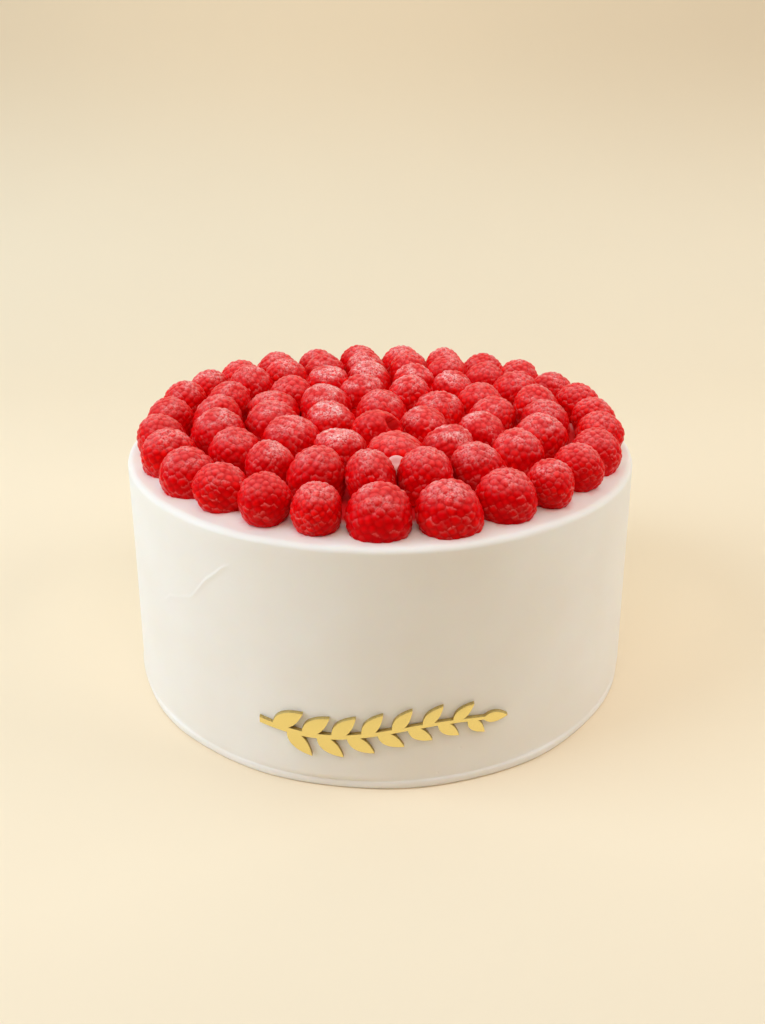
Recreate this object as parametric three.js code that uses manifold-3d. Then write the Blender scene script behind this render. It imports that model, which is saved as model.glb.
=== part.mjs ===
// One-tier round cake under smooth white icing. Rings of raspberries stand on its top, and a cut
// gold leaf sprig lies against the lower front. Millimetres, +Z up, -Y is the front.
// The origin is the centre of the underside.

import * as THREE from 'three';
import { mergeVertices } from 'three/addons/utils/BufferGeometryUtils.js';
import Module from 'manifold-3d';

const wasm = await Module();
wasm.setup();

// --- Driving dimensions -------------------------------------------------------------------------

// Gap that neighbouring solids keep.
const CLEARANCE = 0.3;

// Cake: a 20 cm tier with its icing, a little wider at the foot than at the top.
const CAKE_HEIGHT = 90;
const CAKE_FOOT_RADIUS = 102;
const CAKE_TOP_RADIUS = 97.6;
const CAKE_SIDES = 72;
const TOP_EDGE_ROUND = 3.5;
const TOP_EDGE_STEPS = 3;
const FLAT_TOP_RADIUS = 90;
const SIDE_ROWS = 3;

// Icing pressed out against the surface the cake was iced on: a low band round the foot.
const FOOT_BAND_HEIGHT = 3.4;
const FOOT_BAND_STEP = 0.9;
const FOOT_ROUND = 1.1;
const FOOT_UNEVENNESS = 0.45;

// Slow waves that the smoothing scraper leaves in the side, and dips along the top edge.
const SIDE_WAVE = 0.3;
const LIP_DIP = 0.7;

// Raspberry: widest a little above its open end, with rows of drupelets up to a blunt tip. The
// berries of the outer ring are pressed into the icing, and those inside it stand taller.
const DRUPELETS_AROUND = 12;
const DRUPELET_ROWS = 7;
const DRUPELET_RELIEF = 0.06;
const TIP_RATIO = 0.5;
const BASE_RATIO = 0.6;
const TALL_BASE_RATIO = 0.75;
const TIP_TAPER = 0.08;
// The two rows beside the waist are widened to the berry's full width.
const WAIST_FIT = 1 / Math.cos(Math.PI / (2 * DRUPELET_ROWS));

// Rings of raspberries, from the edge inwards. Angles in degrees from +X, height above the icing.
const FRONT_PAIR_WIDTH = 21.3;
const OUTER_RING = {
  node: 'raspberry_outer', count: 27, radius: 84.5, radialJitter: 0.6, startAngle: -90,
  width: 18.8, widthSpread: 0.1, height: 15.3, heightSpread: 0.7, lean: 7, seed: 1444,
  baseRatio: BASE_RATIO,
};
const MIDDLE_RING = {
  node: 'raspberry_middle', count: 21, radius: 64.4, radialJitter: 0.4, startAngle: -92.5,
  width: 18.7, widthSpread: 0.06, height: 18.1, heightSpread: 0.9, lean: 12, seed: 11,
  baseRatio: TALL_BASE_RATIO,
};
const INNER_RING = {
  count: 14, radius: 44.2, radialJitter: 0.8, startAngle: -109,
  width: 19.2, widthSpread: 0.07, height: 18.3, heightSpread: 1.2, lean: 26, seed: 23,
  baseRatio: TALL_BASE_RATIO,
};
const CORE_RING = {
  count: 7, radius: 23, radialJitter: 0.8, startAngle: -95,
  width: 19.6, widthSpread: 0.06, height: 18.2, heightSpread: 1.2, lean: 28, seed: 37,
  baseRatio: TALL_BASE_RATIO,
};
const CENTRE_BERRY = {
  count: 1, radius: 1.5, radialJitter: 0, startAngle: 60,
  width: 20.4, widthSpread: 0, height: 18.6, heightSpread: 0, lean: 18, seed: 41,
  baseRatio: TALL_BASE_RATIO,
};

// First berry of the core ring: tipped over, so that its hollow shows from the front.
const TIPPED_LEAN = 127;
const TIPPED_TOWARD = 141;
const HOLLOW_MOUTH_RADIUS = 2.9;
const HOLLOW_END_RADIUS = 1.7;
const HOLLOW_DEPTH = 8.5;
const HOLLOW_SIDES = 10;

// Low bed that joins the inner berries into one heap.
const HEAP_BED_RADIUS = 49;
const HEAP_BED_HEIGHT = 8;
const HEAP_BED_ROUND = 1.5;
const HEAP_BED_SIDES = 28;

// Leaf sprig, cut from 1.2 mm sheet and bent to the cake's side.
const SPRIG_LENGTH = 86;
const SPRIG_CENTRE_HEIGHT = 24;
const SPRIG_THICKNESS = 1.2;
const SPRIG_WAVE = 2.4;
const SPRIG_REACH = 15;
const STEM_WIDTH = 2;
const STEM_TIP_SHARE = 0.5;
const STEM_LENGTH_SHARE = 0.94;
const STEM_STEPS = 18;
const LEAF_PAIRS = 7;
const LEAF_LENGTH = 12.4;
const LEAF_WIDTH = 5.4;
const LEAF_ANGLE = 40;
const LEAF_SHRINK = 0.3;
const LEAF_MARGIN = 7;
// Control points of a leaf's edge, as shares of its length and of its width.
const LEAF_NEAR = [0.3, 0.85];
const LEAF_FAR = [0.7, 0.45];
const LEAF_CURVE_STEPS = 5;

const ICING_COLOUR = '#f1e9dd';
const RASPBERRY_COLOUR = '#c4151c';
const GOLD_COLOUR = '#dcb75f';

// --- Small helpers ------------------------------------------------------------------------------

const radians = THREE.MathUtils.degToRad;

// Repeatable draw between 0 and 1 for the berry at index, from a seed.
function draw(index, seed) {
  const value = Math.sin((index + 1) * 12.9898 + seed * 78.233) * 43758.5453;
  return value - Math.floor(value);
}

// Repeatable draw between -1 and 1.
function sway(index, seed) {
  return 2 * draw(index, seed) - 1;
}

// Volume inside a closed geometry, negative where its faces point inwards.
function signedVolume(position, index) {
  const a = new THREE.Vector3();
  const b = new THREE.Vector3();
  const c = new THREE.Vector3();
  let sum = 0;
  for (let i = 0; i < index.length; i += 3) {
    a.fromBufferAttribute(position, index[i]);
    b.fromBufferAttribute(position, index[i + 1]);
    c.fromBufferAttribute(position, index[i + 2]);
    sum += a.dot(b.cross(c));
  }
  return sum / 6;
}

// Merges shared vertices, drops the flat triangles of a pole and turns the faces outwards.
function closedMesh(geometry) {
  const bare = geometry.clone();
  bare.deleteAttribute('normal');
  bare.deleteAttribute('uv');
  const merged = mergeVertices(bare, 1e-4);
  const source = merged.getIndex().array;
  const index = [];
  for (let i = 0; i < source.length; i += 3) {
    const [a, b, c] = [source[i], source[i + 1], source[i + 2]];
    if (a !== b && b !== c && c !== a) {
      index.push(a, b, c);
    }
  }
  if (signedVolume(merged.getAttribute('position'), index) < 0) {
    index.reverse();
  }
  merged.setIndex(index);
  return merged;
}

// Calls reshape on every vertex of a geometry and writes the result back.
function reshapeVertices(geometry, reshape) {
  const position = geometry.getAttribute('position');
  const point = new THREE.Vector3();
  for (let i = 0; i < position.count; i += 1) {
    point.fromBufferAttribute(position, i);
    reshape(point);
    position.setXYZ(i, point.x, point.y, point.z);
  }
  return geometry;
}

function toSolid(geometry) {
  return new wasm.Manifold(new wasm.Mesh({
    numProp: 3,
    vertProperties: new Float32Array(geometry.getAttribute('position').array),
    triVerts: new Uint32Array(geometry.getIndex().array),
  }));
}

function toGeometry(solid) {
  const mesh = solid.getMesh();
  const geometry = new THREE.BufferGeometry();
  geometry.setAttribute('position', new THREE.BufferAttribute(new Float32Array(mesh.vertProperties), 3));
  geometry.setIndex(new THREE.BufferAttribute(new Uint32Array(mesh.triVerts), 1));
  return geometry;
}

// --- Iced cake ----------------------------------------------------------------------------------

// Even radius of the side at a height, between the foot band and the top edge.
function sideRadius(z) {
  const low = CAKE_FOOT_RADIUS - FOOT_BAND_STEP;
  const share = (z - FOOT_BAND_HEIGHT) / (CAKE_HEIGHT - TOP_EDGE_ROUND - FOOT_BAND_HEIGHT);
  return THREE.MathUtils.lerp(low, CAKE_TOP_RADIUS, THREE.MathUtils.clamp(share, 0, 1));
}

// Slow waves of the side: how far the icing stands out at an angle and height.
function sideWave(angle, z) {
  const broad = 0.6 * Math.sin(3 * angle + 0.03 * z + 1.1);
  const narrow = 0.4 * Math.sin(7 * angle - 0.05 * z + 2.3);
  return SIDE_WAVE * (broad + narrow);
}

// Uneven edge of the pressed-out band at the foot.
function footWave(angle) {
  return FOOT_UNEVENNESS * (0.6 * Math.sin(5 * angle + 0.4) + 0.4 * Math.sin(13 * angle + 1.9) - 1);
}

// How far the top edge dips below the flat top at an angle, from 0 to LIP_DIP.
function lipDip(angle) {
  return LIP_DIP * (0.5 + 0.3 * Math.sin(4 * angle + 2.0) + 0.2 * Math.sin(9 * angle + 0.6));
}

// Height of a row of corners on the side, counted up from the foot band.
function rowHeight(row) {
  return THREE.MathUtils.lerp(FOOT_BAND_HEIGHT, CAKE_HEIGHT - TOP_EDGE_ROUND, row / (SIDE_ROWS + 1));
}

// Half outline of the cake, from the middle of its underside to the middle of its top.
function cakeProfile() {
  const points = [
    new THREE.Vector2(0, 0),
    new THREE.Vector2(CAKE_FOOT_RADIUS - FOOT_ROUND, 0),
    new THREE.Vector2(CAKE_FOOT_RADIUS, FOOT_ROUND),
    new THREE.Vector2(CAKE_FOOT_RADIUS, FOOT_BAND_HEIGHT - FOOT_ROUND / 2),
    new THREE.Vector2(CAKE_FOOT_RADIUS - FOOT_BAND_STEP, FOOT_BAND_HEIGHT + FOOT_ROUND / 2),
  ];
  const edgeStart = CAKE_HEIGHT - TOP_EDGE_ROUND;
  for (let row = 1; row <= SIDE_ROWS; row += 1) {
    points.push(new THREE.Vector2(sideRadius(rowHeight(row)), rowHeight(row)));
  }
  for (let step = 0; step <= TOP_EDGE_STEPS; step += 1) {
    const turn = (Math.PI / 2) * (step / TOP_EDGE_STEPS);
    points.push(new THREE.Vector2(
      CAKE_TOP_RADIUS - TOP_EDGE_ROUND * (1 - Math.cos(turn)),
      edgeStart + TOP_EDGE_ROUND * Math.sin(turn),
    ));
  }
  points.push(new THREE.Vector2(FLAT_TOP_RADIUS, CAKE_HEIGHT));
  points.push(new THREE.Vector2(0, CAKE_HEIGHT));
  return points;
}

function icedCakeGeometry() {
  const lathe = new THREE.LatheGeometry(cakeProfile(), CAKE_SIDES);
  lathe.rotateX(Math.PI / 2);
  const edgeStart = CAKE_HEIGHT - TOP_EDGE_ROUND;
  return reshapeVertices(closedMesh(lathe), (point) => {
    const radius = Math.hypot(point.x, point.y);
    if (radius < FLAT_TOP_RADIUS + 0.01) {
      return;
    }
    const angle = Math.atan2(point.y, point.x);
    const bulge = point.z < FOOT_BAND_HEIGHT ? footWave(angle) : sideWave(angle, point.z);
    point.x += bulge * Math.cos(angle);
    point.y += bulge * Math.sin(angle);
    point.z -= lipDip(angle) * Math.max(0, point.z - edgeStart) / TOP_EDGE_ROUND;
  });
}

// --- Raspberries --------------------------------------------------------------------------------

// The berries of one ring. Each takes an arc in proportion to its width, and leans a little.
function ringBerries(ring, widths) {
  const total = widths.reduce((sum, width) => sum + width, 0);
  const berries = [];
  let angle = radians(ring.startAngle);
  for (let i = 0; i < ring.count; i += 1) {
    const radius = ring.radius + ring.radialJitter * sway(i, ring.seed + 1);
    berries.push({
      x: radius * Math.cos(angle),
      y: radius * Math.sin(angle),
      width: widths[i],
      height: ring.height + ring.heightSpread * sway(i, ring.seed + 2),
      lean: radians(ring.lean) * draw(i, ring.seed + 3),
      leanToward: 2 * Math.PI * draw(i, ring.seed + 4),
      spin: 2 * Math.PI * draw(i, ring.seed + 5),
      baseRatio: ring.baseRatio,
    });
    const next = widths[(i + 1) % ring.count];
    angle += (Math.PI * (widths[i] + next)) / total;
  }
  return berries;
}

function ringWidths(ring) {
  return Array.from({ length: ring.count }, (_, i) => ring.width * (1 + ring.widthSpread * sway(i, ring.seed)));
}

// Turn of a berry: spun about its own axis, then leaned with its tip towards leanToward.
function berryTurn(berry) {
  const axis = new THREE.Vector3(-Math.sin(berry.leanToward), Math.cos(berry.leanToward), 0);
  const turn = new THREE.Matrix4().makeRotationAxis(axis, berry.lean);
  return turn.multiply(new THREE.Matrix4().makeRotationZ(berry.spin));
}

function berryCentre(berry) {
  return new THREE.Vector3(berry.x, berry.y, CAKE_HEIGHT + berry.height - TIP_RATIO * berry.width);
}

// One raspberry as a rounded body with staggered bumps, trimmed flat just above the icing.
function raspberryGeometry(berry) {
  const turn = berryTurn(berry);
  const centre = berryCentre(berry);
  const floor = CAKE_HEIGHT + CLEARANCE;
  const sphere = closedMesh(new THREE.SphereGeometry(1, DRUPELETS_AROUND, DRUPELET_ROWS));
  return reshapeVertices(sphere, (point) => {
    const row = Math.round((Math.acos(THREE.MathUtils.clamp(point.y, -1, 1)) / Math.PI) * DRUPELET_ROWS);
    const column = Math.round((Math.atan2(point.z, point.x) / (2 * Math.PI)) * DRUPELETS_AROUND);
    const onPole = row === 0 || row === DRUPELET_ROWS;
    const between = !onPole && (row + column) % 2 !== 0;
    const dent = between ? 1 - DRUPELET_RELIEF : 1;
    const up = point.y;
    const girth = 0.5 * berry.width * WAIST_FIT * dent * (1 - TIP_TAPER * Math.max(0, up));
    const rise = (up > 0 ? TIP_RATIO : berry.baseRatio) * berry.width * dent;
    point.set(point.x * girth, point.z * girth, up * rise);
    point.applyMatrix4(turn).add(centre);
    point.z = Math.max(point.z, floor);
  });
}

function raspberryNodes(ring, widths) {
  return ringBerries(ring, widths).map((berry, i) => ({
    name: `${ring.node}_${String(i + 1).padStart(2, '0')}`,
    geometry: closedMesh(raspberryGeometry(berry)),
  }));
}

function outerWidths() {
  const widths = ringWidths(OUTER_RING);
  widths[0] = FRONT_PAIR_WIDTH;
  widths[1] = FRONT_PAIR_WIDTH;
  return widths;
}

// --- Heap of inner raspberries ------------------------------------------------------------------

function heapBedGeometry() {
  const floor = CAKE_HEIGHT + CLEARANCE;
  const top = CAKE_HEIGHT + HEAP_BED_HEIGHT;
  const lathe = new THREE.LatheGeometry([
    new THREE.Vector2(0, floor),
    new THREE.Vector2(HEAP_BED_RADIUS, floor),
    new THREE.Vector2(HEAP_BED_RADIUS, top - HEAP_BED_ROUND),
    new THREE.Vector2(HEAP_BED_RADIUS - HEAP_BED_ROUND, top),
    new THREE.Vector2(0, top),
  ], HEAP_BED_SIDES);
  lathe.rotateX(Math.PI / 2);
  return closedMesh(lathe);
}

// Tapered hollow that runs from a berry's open end towards its tip.
function hollowGeometry(berry) {
  const cone = new THREE.CylinderGeometry(
    HOLLOW_END_RADIUS, HOLLOW_MOUTH_RADIUS, HOLLOW_DEPTH, HOLLOW_SIDES);
  cone.rotateX(Math.PI / 2);
  cone.translate(0, 0, HOLLOW_DEPTH / 2 - berry.baseRatio * berry.width - CLEARANCE);
  cone.applyMatrix4(berryTurn(berry));
  const centre = berryCentre(berry);
  cone.translate(centre.x, centre.y, centre.z);
  return closedMesh(cone);
}

function heapBerries() {
  const core = ringBerries(CORE_RING, ringWidths(CORE_RING));
  core[0].lean = radians(TIPPED_LEAN);
  core[0].leanToward = radians(TIPPED_TOWARD);
  core[0].baseRatio = BASE_RATIO;
  return [
    ...core,
    ...ringBerries(INNER_RING, ringWidths(INNER_RING)),
    ...ringBerries(CENTRE_BERRY, ringWidths(CENTRE_BERRY)),
  ];
}

function heapGeometry() {
  const berries = heapBerries();
  let heap = toSolid(heapBedGeometry());
  for (const berry of berries) {
    heap = heap.add(toSolid(closedMesh(raspberryGeometry(berry))));
  }
  heap = heap.subtract(toSolid(hollowGeometry(berries[0])));
  return toGeometry(heap);
}

// --- Gold leaf sprig ----------------------------------------------------------------------------

// Height of the stem's middle line above the sprig's centre, at a distance along it.
function stemLine(along) {
  return SPRIG_WAVE * Math.sin((2 * Math.PI * along) / SPRIG_LENGTH);
}

function stemSlope(along) {
  const step = 0.5;
  return Math.atan2(stemLine(along + step) - stemLine(along - step), 2 * step);
}

function stemShape() {
  const upper = [];
  const lower = [];
  for (let i = 0; i <= STEM_STEPS; i += 1) {
    const share = i / STEM_STEPS;
    const along = SPRIG_LENGTH * (share - 0.5) * STEM_LENGTH_SHARE;
    const half = 0.5 * STEM_WIDTH * THREE.MathUtils.lerp(1, STEM_TIP_SHARE, share);
    upper.push(new THREE.Vector2(along, stemLine(along) + half));
    lower.push(new THREE.Vector2(along, stemLine(along) - half));
  }
  return new THREE.Shape([...lower, ...upper.reverse()]);
}

// Pointed leaf that starts at (x, y) and points along turn.
function leafShape(x, y, turn, size) {
  const place = (along, across) => new THREE.Vector2(along, across)
    .multiplyScalar(size)
    .rotateAround(new THREE.Vector2(0, 0), turn)
    .add(new THREE.Vector2(x, y));
  const edge = (side) => [
    place(LEAF_NEAR[0] * LEAF_LENGTH, side * LEAF_NEAR[1] * LEAF_WIDTH),
    place(LEAF_FAR[0] * LEAF_LENGTH, side * LEAF_FAR[1] * LEAF_WIDTH),
  ];
  const [base, tip] = [place(0, 0), place(LEAF_LENGTH, 0)];
  const [rightNear, rightFar] = edge(-1);
  const [leftNear, leftFar] = edge(1);
  const shape = new THREE.Shape();
  shape.moveTo(base.x, base.y);
  shape.bezierCurveTo(rightNear.x, rightNear.y, rightFar.x, rightFar.y, tip.x, tip.y);
  shape.bezierCurveTo(leftFar.x, leftFar.y, leftNear.x, leftNear.y, base.x, base.y);
  return shape;
}

// Leaves in alternate order up the stem, smaller towards its end, and one at its tip.
function leafShapes() {
  const shapes = [];
  const reach = SPRIG_LENGTH - 3 * LEAF_MARGIN;
  const step = reach / (2 * LEAF_PAIRS - 1);
  for (let i = 0; i < 2 * LEAF_PAIRS; i += 1) {
    const along = LEAF_MARGIN - SPRIG_LENGTH / 2 + i * step;
    const side = i % 2 === 0 ? 1 : -1;
    const size = 1 - (LEAF_SHRINK * i) / (2 * LEAF_PAIRS - 1);
    const turn = stemSlope(along) + side * radians(LEAF_ANGLE);
    shapes.push(leafShape(along, stemLine(along), turn, size));
  }
  const last = SPRIG_LENGTH / 2 - LEAF_LENGTH * (1 - LEAF_SHRINK);
  shapes.push(leafShape(last, stemLine(last), stemSlope(last), 1 - LEAF_SHRINK));
  return shapes;
}

// The cut-out of the sprig, as a prism that passes through the front of the cake's side.
function sprigPrism() {
  const cut = { depth: 2 * SPRIG_REACH, bevelEnabled: false, curveSegments: LEAF_CURVE_STEPS };
  const [stem, ...leaves] = [stemShape(), ...leafShapes()]
    .map((shape) => toSolid(closedMesh(new THREE.ExtrudeGeometry(shape, cut))));
  const prism = toGeometry(leaves.reduce((joined, leaf) => joined.add(leaf), stem));
  prism.rotateX(Math.PI / 2);
  prism.translate(0, SPRIG_REACH - sideRadius(SPRIG_CENTRE_HEIGHT), SPRIG_CENTRE_HEIGHT);
  return prism;
}

// Shell of the sheet's thickness round the lower side, with the same corners as the cake.
function sprigSheet() {
  const rows = [FOOT_BAND_HEIGHT, rowHeight(1), rowHeight(2)];
  const face = (offset) => rows.map((z) => new THREE.Vector2(sideRadius(z) + offset, z));
  const inner = face(CLEARANCE);
  const outer = face(CLEARANCE + SPRIG_THICKNESS);
  const lathe = new THREE.LatheGeometry([...outer, ...inner.reverse(), outer[0]], CAKE_SIDES);
  lathe.rotateX(Math.PI / 2);
  return reshapeVertices(closedMesh(lathe), (point) => {
    const angle = Math.atan2(point.y, point.x);
    const bulge = sideWave(angle, point.z);
    point.x += bulge * Math.cos(angle);
    point.y += bulge * Math.sin(angle);
  });
}

function sprigGeometry() {
  return toGeometry(toSolid(sprigPrism()).intersect(toSolid(sprigSheet())));
}

// --- Assembly -----------------------------------------------------------------------------------

function material(colour, roughness, metalness) {
  return new THREE.MeshStandardMaterial({ color: colour, roughness, metalness });
}

const icing = material(ICING_COLOUR, 0.55, 0);
const raspberry = material(RASPBERRY_COLOUR, 0.5, 0);
const gold = material(GOLD_COLOUR, 0.28, 1);

const group = new THREE.Group();

function place(name, geometry, finish) {
  const mesh = new THREE.Mesh(geometry, finish);
  mesh.name = name;
  group.add(mesh);
}

place('iced_cake', icedCakeGeometry(), icing);
for (const { name, geometry } of raspberryNodes(OUTER_RING, outerWidths())) {
  place(name, geometry, raspberry);
}
for (const { name, geometry } of raspberryNodes(MIDDLE_RING, ringWidths(MIDDLE_RING))) {
  place(name, geometry, raspberry);
}
place('raspberry_heap', heapGeometry(), raspberry);
place('gold_leaf_sprig', sprigGeometry(), gold);

export default group;
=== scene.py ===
"""Wedding cake: one round tier under smooth white icing, its top covered with raspberries.

A cut gold leaf sprig lies against the lower front. Meshes are modelled in millimetres and settled
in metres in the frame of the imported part: +Z is up and -Y is the front.
"""

import logging
import math
from collections.abc import Callable, Iterable
from dataclasses import dataclass, field, replace
from enum import Enum, IntEnum

import bpy
import numpy as np
from mathutils import Matrix, Vector
from mathutils.kdtree import KDTree


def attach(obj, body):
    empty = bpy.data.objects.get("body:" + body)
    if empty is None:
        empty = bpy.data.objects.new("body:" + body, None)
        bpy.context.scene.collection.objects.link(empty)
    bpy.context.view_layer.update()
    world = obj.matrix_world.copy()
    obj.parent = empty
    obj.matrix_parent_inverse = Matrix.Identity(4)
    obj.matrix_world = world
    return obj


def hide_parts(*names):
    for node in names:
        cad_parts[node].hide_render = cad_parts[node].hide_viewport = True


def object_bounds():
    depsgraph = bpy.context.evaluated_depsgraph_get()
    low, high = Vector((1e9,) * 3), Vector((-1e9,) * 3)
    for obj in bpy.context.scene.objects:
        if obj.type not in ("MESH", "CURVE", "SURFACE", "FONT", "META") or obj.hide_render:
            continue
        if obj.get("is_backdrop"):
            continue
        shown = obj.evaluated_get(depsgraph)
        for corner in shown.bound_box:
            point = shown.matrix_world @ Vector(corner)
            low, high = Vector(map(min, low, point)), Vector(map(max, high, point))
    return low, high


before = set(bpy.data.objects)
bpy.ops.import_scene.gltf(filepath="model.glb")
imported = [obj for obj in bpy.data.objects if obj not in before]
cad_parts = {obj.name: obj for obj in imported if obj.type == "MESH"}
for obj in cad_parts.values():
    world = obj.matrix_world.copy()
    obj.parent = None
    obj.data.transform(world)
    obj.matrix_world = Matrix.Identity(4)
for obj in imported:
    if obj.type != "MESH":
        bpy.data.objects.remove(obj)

log = logging.getLogger("wedding_cake")

MM = 0.001
BODY = "root"
CLEARANCE = 0.3
UP = Vector((0.0, 0.0, 1.0))
GOLDEN_ANGLE = math.pi * (3.0 - math.sqrt(5.0))


class Finish(Enum):
    """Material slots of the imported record."""

    ICING = "icing"
    RASPBERRY = "raspberry"
    GOLD_SHEET = "gold_sheet"


class Chance(IntEnum):
    """Seed of each draw that shapes a drupelet, a hair or a berry, or chooses its place."""

    DRUPELET_POLAR = 51
    DRUPELET_AROUND = 52
    DRUPELET_SIZE = 53
    PITCH = 54
    DRUPELET_SINK = 55
    HAIR_ROOT = 60
    HAIR_SIDE = 61
    HAIR_LAY = 62
    HAIR_SIZE = 63
    DRUPELET_TONE = 70
    DRUPELET_WET = 71
    WIDER = 72
    LUMPS = 73
    CROOKED = 74
    KIND = 80
    SPIN = 81
    BLOOM = 82
    LIES = 83
    LEAN = 84
    RIPENESS = 90


# --- Numbers ------------------------------------------------------------------------------------


def draw(index: int, seed: int) -> float:
    """Give a repeatable draw between 0 and 1.

    Args:
        index: Which thing of its kind the draw is for.
        seed: Which draw it is.

    Returns:
        The same number each time for the same index and seed.
    """
    value = math.sin((index + 1) * 12.9898 + seed * 78.233) * 43758.5453
    return value - math.floor(value)


def sway(index: int, seed: int) -> float:
    """Give a repeatable draw between -1 and 1."""
    return 2.0 * draw(index, seed) - 1.0


def lerp(low: float, high: float, share: float) -> float:
    """Give the value that lies a share of the way from low to high."""
    return low + (high - low) * share


def smooth_step(values: np.ndarray, low: float, high: float) -> np.ndarray:
    """Rise smoothly from 0 to 1 between two values.

    Args:
        values: The values to weigh.
        low: Where the rise starts.
        high: Where it ends; it may be below low, for a fall.

    Returns:
        A weight from 0 to 1 for each value.
    """
    share = np.clip((values - low) / (high - low), 0.0, 1.0)
    return share * share * (3.0 - 2.0 * share)


def linear(colour: str) -> tuple[float, float, float, float]:
    """Turn an sRGB hex colour into the linear colour that a shader takes.

    Args:
        colour: Six hex digits after a hash sign.

    Returns:
        Red, green, blue and alpha.
    """
    shares = [int(colour[i : i + 2], 16) / 255.0 for i in (1, 3, 5)]
    r, g, b = (s / 12.92 if s <= 0.04045 else ((s + 0.055) / 1.055) ** 2.4 for s in shares)
    return r, g, b, 1.0


# --- Modelling ----------------------------------------------------------------------------------


def deselect_all() -> None:
    """Leave edit mode and deselect every object."""
    if bpy.context.object is not None and bpy.context.object.mode != "OBJECT":
        bpy.ops.object.mode_set(mode="OBJECT")
    bpy.ops.object.select_all(action="DESELECT")


def select_only(piece: bpy.types.Object) -> None:
    """Make one object the only selected one, and the active one."""
    deselect_all()
    piece.select_set(True)
    bpy.context.view_layer.objects.active = piece


def edit(piece: bpy.types.Object, select: str = "SELECT") -> None:
    """Open one object in edit mode with all or nothing of its mesh selected."""
    select_only(piece)
    bpy.ops.object.mode_set(mode="EDIT")
    bpy.ops.mesh.select_all(action=select)


def close_edit() -> None:
    """Leave edit mode."""
    bpy.ops.object.mode_set(mode="OBJECT")


def edit_chosen(
    piece: bpy.types.Object, elements: Iterable[object], chosen: Callable[[object], bool]
) -> None:
    """Open one object in edit mode with some of its edges or faces selected.

    Args:
        piece: The object.
        elements: Its edges or its faces.
        chosen: Whether one of them is selected.
    """
    edit(piece, "DESELECT")
    close_edit()
    for element in elements:
        element.select = chosen(element)
    select_only(piece)
    bpy.ops.object.mode_set(mode="EDIT")


def primitive(add: Callable[..., set[str]], **settings: object) -> bpy.types.Object:
    """Add a primitive and move its place into its mesh.

    Args:
        add: The operator that adds it.
        **settings: The operator's settings by name.

    Returns:
        The new object, at the origin.
    """
    deselect_all()
    add(**settings)
    piece = bpy.context.object
    piece.data.transform(piece.matrix_world)
    piece.matrix_world = Matrix.Identity(4)
    return piece


def slice_piece(
    piece: bpy.types.Object, at: float, axis: Vector = UP, drop_below: bool = True
) -> None:
    """Cut a mesh across an axis.

    Args:
        piece: The object that is cut.
        at: Where the cut lies on the axis.
        axis: The axis.
        drop_below: Whether what lies below the cut goes, and the cut is closed.
    """
    edit(piece)
    bpy.ops.mesh.bisect(
        plane_co=at * axis, plane_no=axis, use_fill=drop_below, clear_inner=drop_below
    )
    close_edit()


def apply_modifier(piece: bpy.types.Object, kind: str, **settings: object) -> None:
    """Add a modifier with its settings and apply it.

    Args:
        piece: The object that is changed.
        kind: The modifier's type.
        **settings: Its settings by name.
    """
    select_only(piece)
    modifier = piece.modifiers.new(kind.title(), kind)
    for name, value in settings.items():
        setattr(modifier, name, value)
    bpy.ops.object.modifier_apply(modifier=modifier.name)


def copy_piece(piece: bpy.types.Object, place: Matrix | None = None) -> bpy.types.Object:
    """Copy an object with its own mesh.

    Args:
        piece: The object to copy.
        place: Where the copy's mesh goes, or None to leave it.

    Returns:
        The copy, linked to the scene.
    """
    copied = piece.copy()
    copied.data = piece.data.copy()
    bpy.context.scene.collection.objects.link(copied)
    if place is not None:
        copied.data.transform(place)
    return copied


def join_pieces(pieces: list[bpy.types.Object]) -> bpy.types.Object:
    """Join objects into the first of them."""
    deselect_all()
    for piece in pieces:
        piece.select_set(True)
    bpy.context.view_layer.objects.active = pieces[0]
    bpy.ops.object.join()
    return pieces[0]


def remove_piece(piece: bpy.types.Object) -> None:
    """Remove an object and its mesh."""
    mesh = piece.data
    bpy.data.objects.remove(piece)
    bpy.data.meshes.remove(mesh)


def rows_of(items: bpy.types.bpy_prop_collection, name: str) -> np.ndarray:
    """Give one vector of each item as rows of x, y and z."""
    flat = np.empty(len(items) * 3, dtype=np.float32)
    items.foreach_get(name, flat)
    return flat.reshape(-1, 3).astype(float)


def points_of(piece: bpy.types.Object) -> np.ndarray:
    """Give an object's vertices."""
    return rows_of(piece.data.vertices, "co")


def move_points(piece: bpy.types.Object, points: np.ndarray) -> None:
    """Write an object's vertices back."""
    piece.data.vertices.foreach_set("co", points.astype(np.float32).ravel())
    piece.data.update()


def write_weight(piece: bpy.types.Object, name: str, values: np.ndarray) -> None:
    """Store one number for each vertex under a name that a material reads."""
    attributes = piece.data.attributes
    stored = attributes.get(name) or attributes.new(name, "FLOAT", "POINT")
    stored.data.foreach_set("value", np.asarray(values, dtype=np.float32))


def read_weight(piece: bpy.types.Object, name: str) -> np.ndarray:
    """Read the number stored for each vertex under a name."""
    values = np.empty(len(piece.data.vertices), dtype=np.float32)
    piece.data.attributes[name].data.foreach_get("value", values)
    return values.astype(float)


def make_outward(piece: bpy.types.Object, merge_below: float = 1e-4) -> None:
    """Merge double vertices and turn every face outwards."""
    edit(piece)
    bpy.ops.mesh.remove_doubles(threshold=merge_below)
    bpy.ops.mesh.normals_make_consistent(inside=False)
    close_edit()


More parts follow.
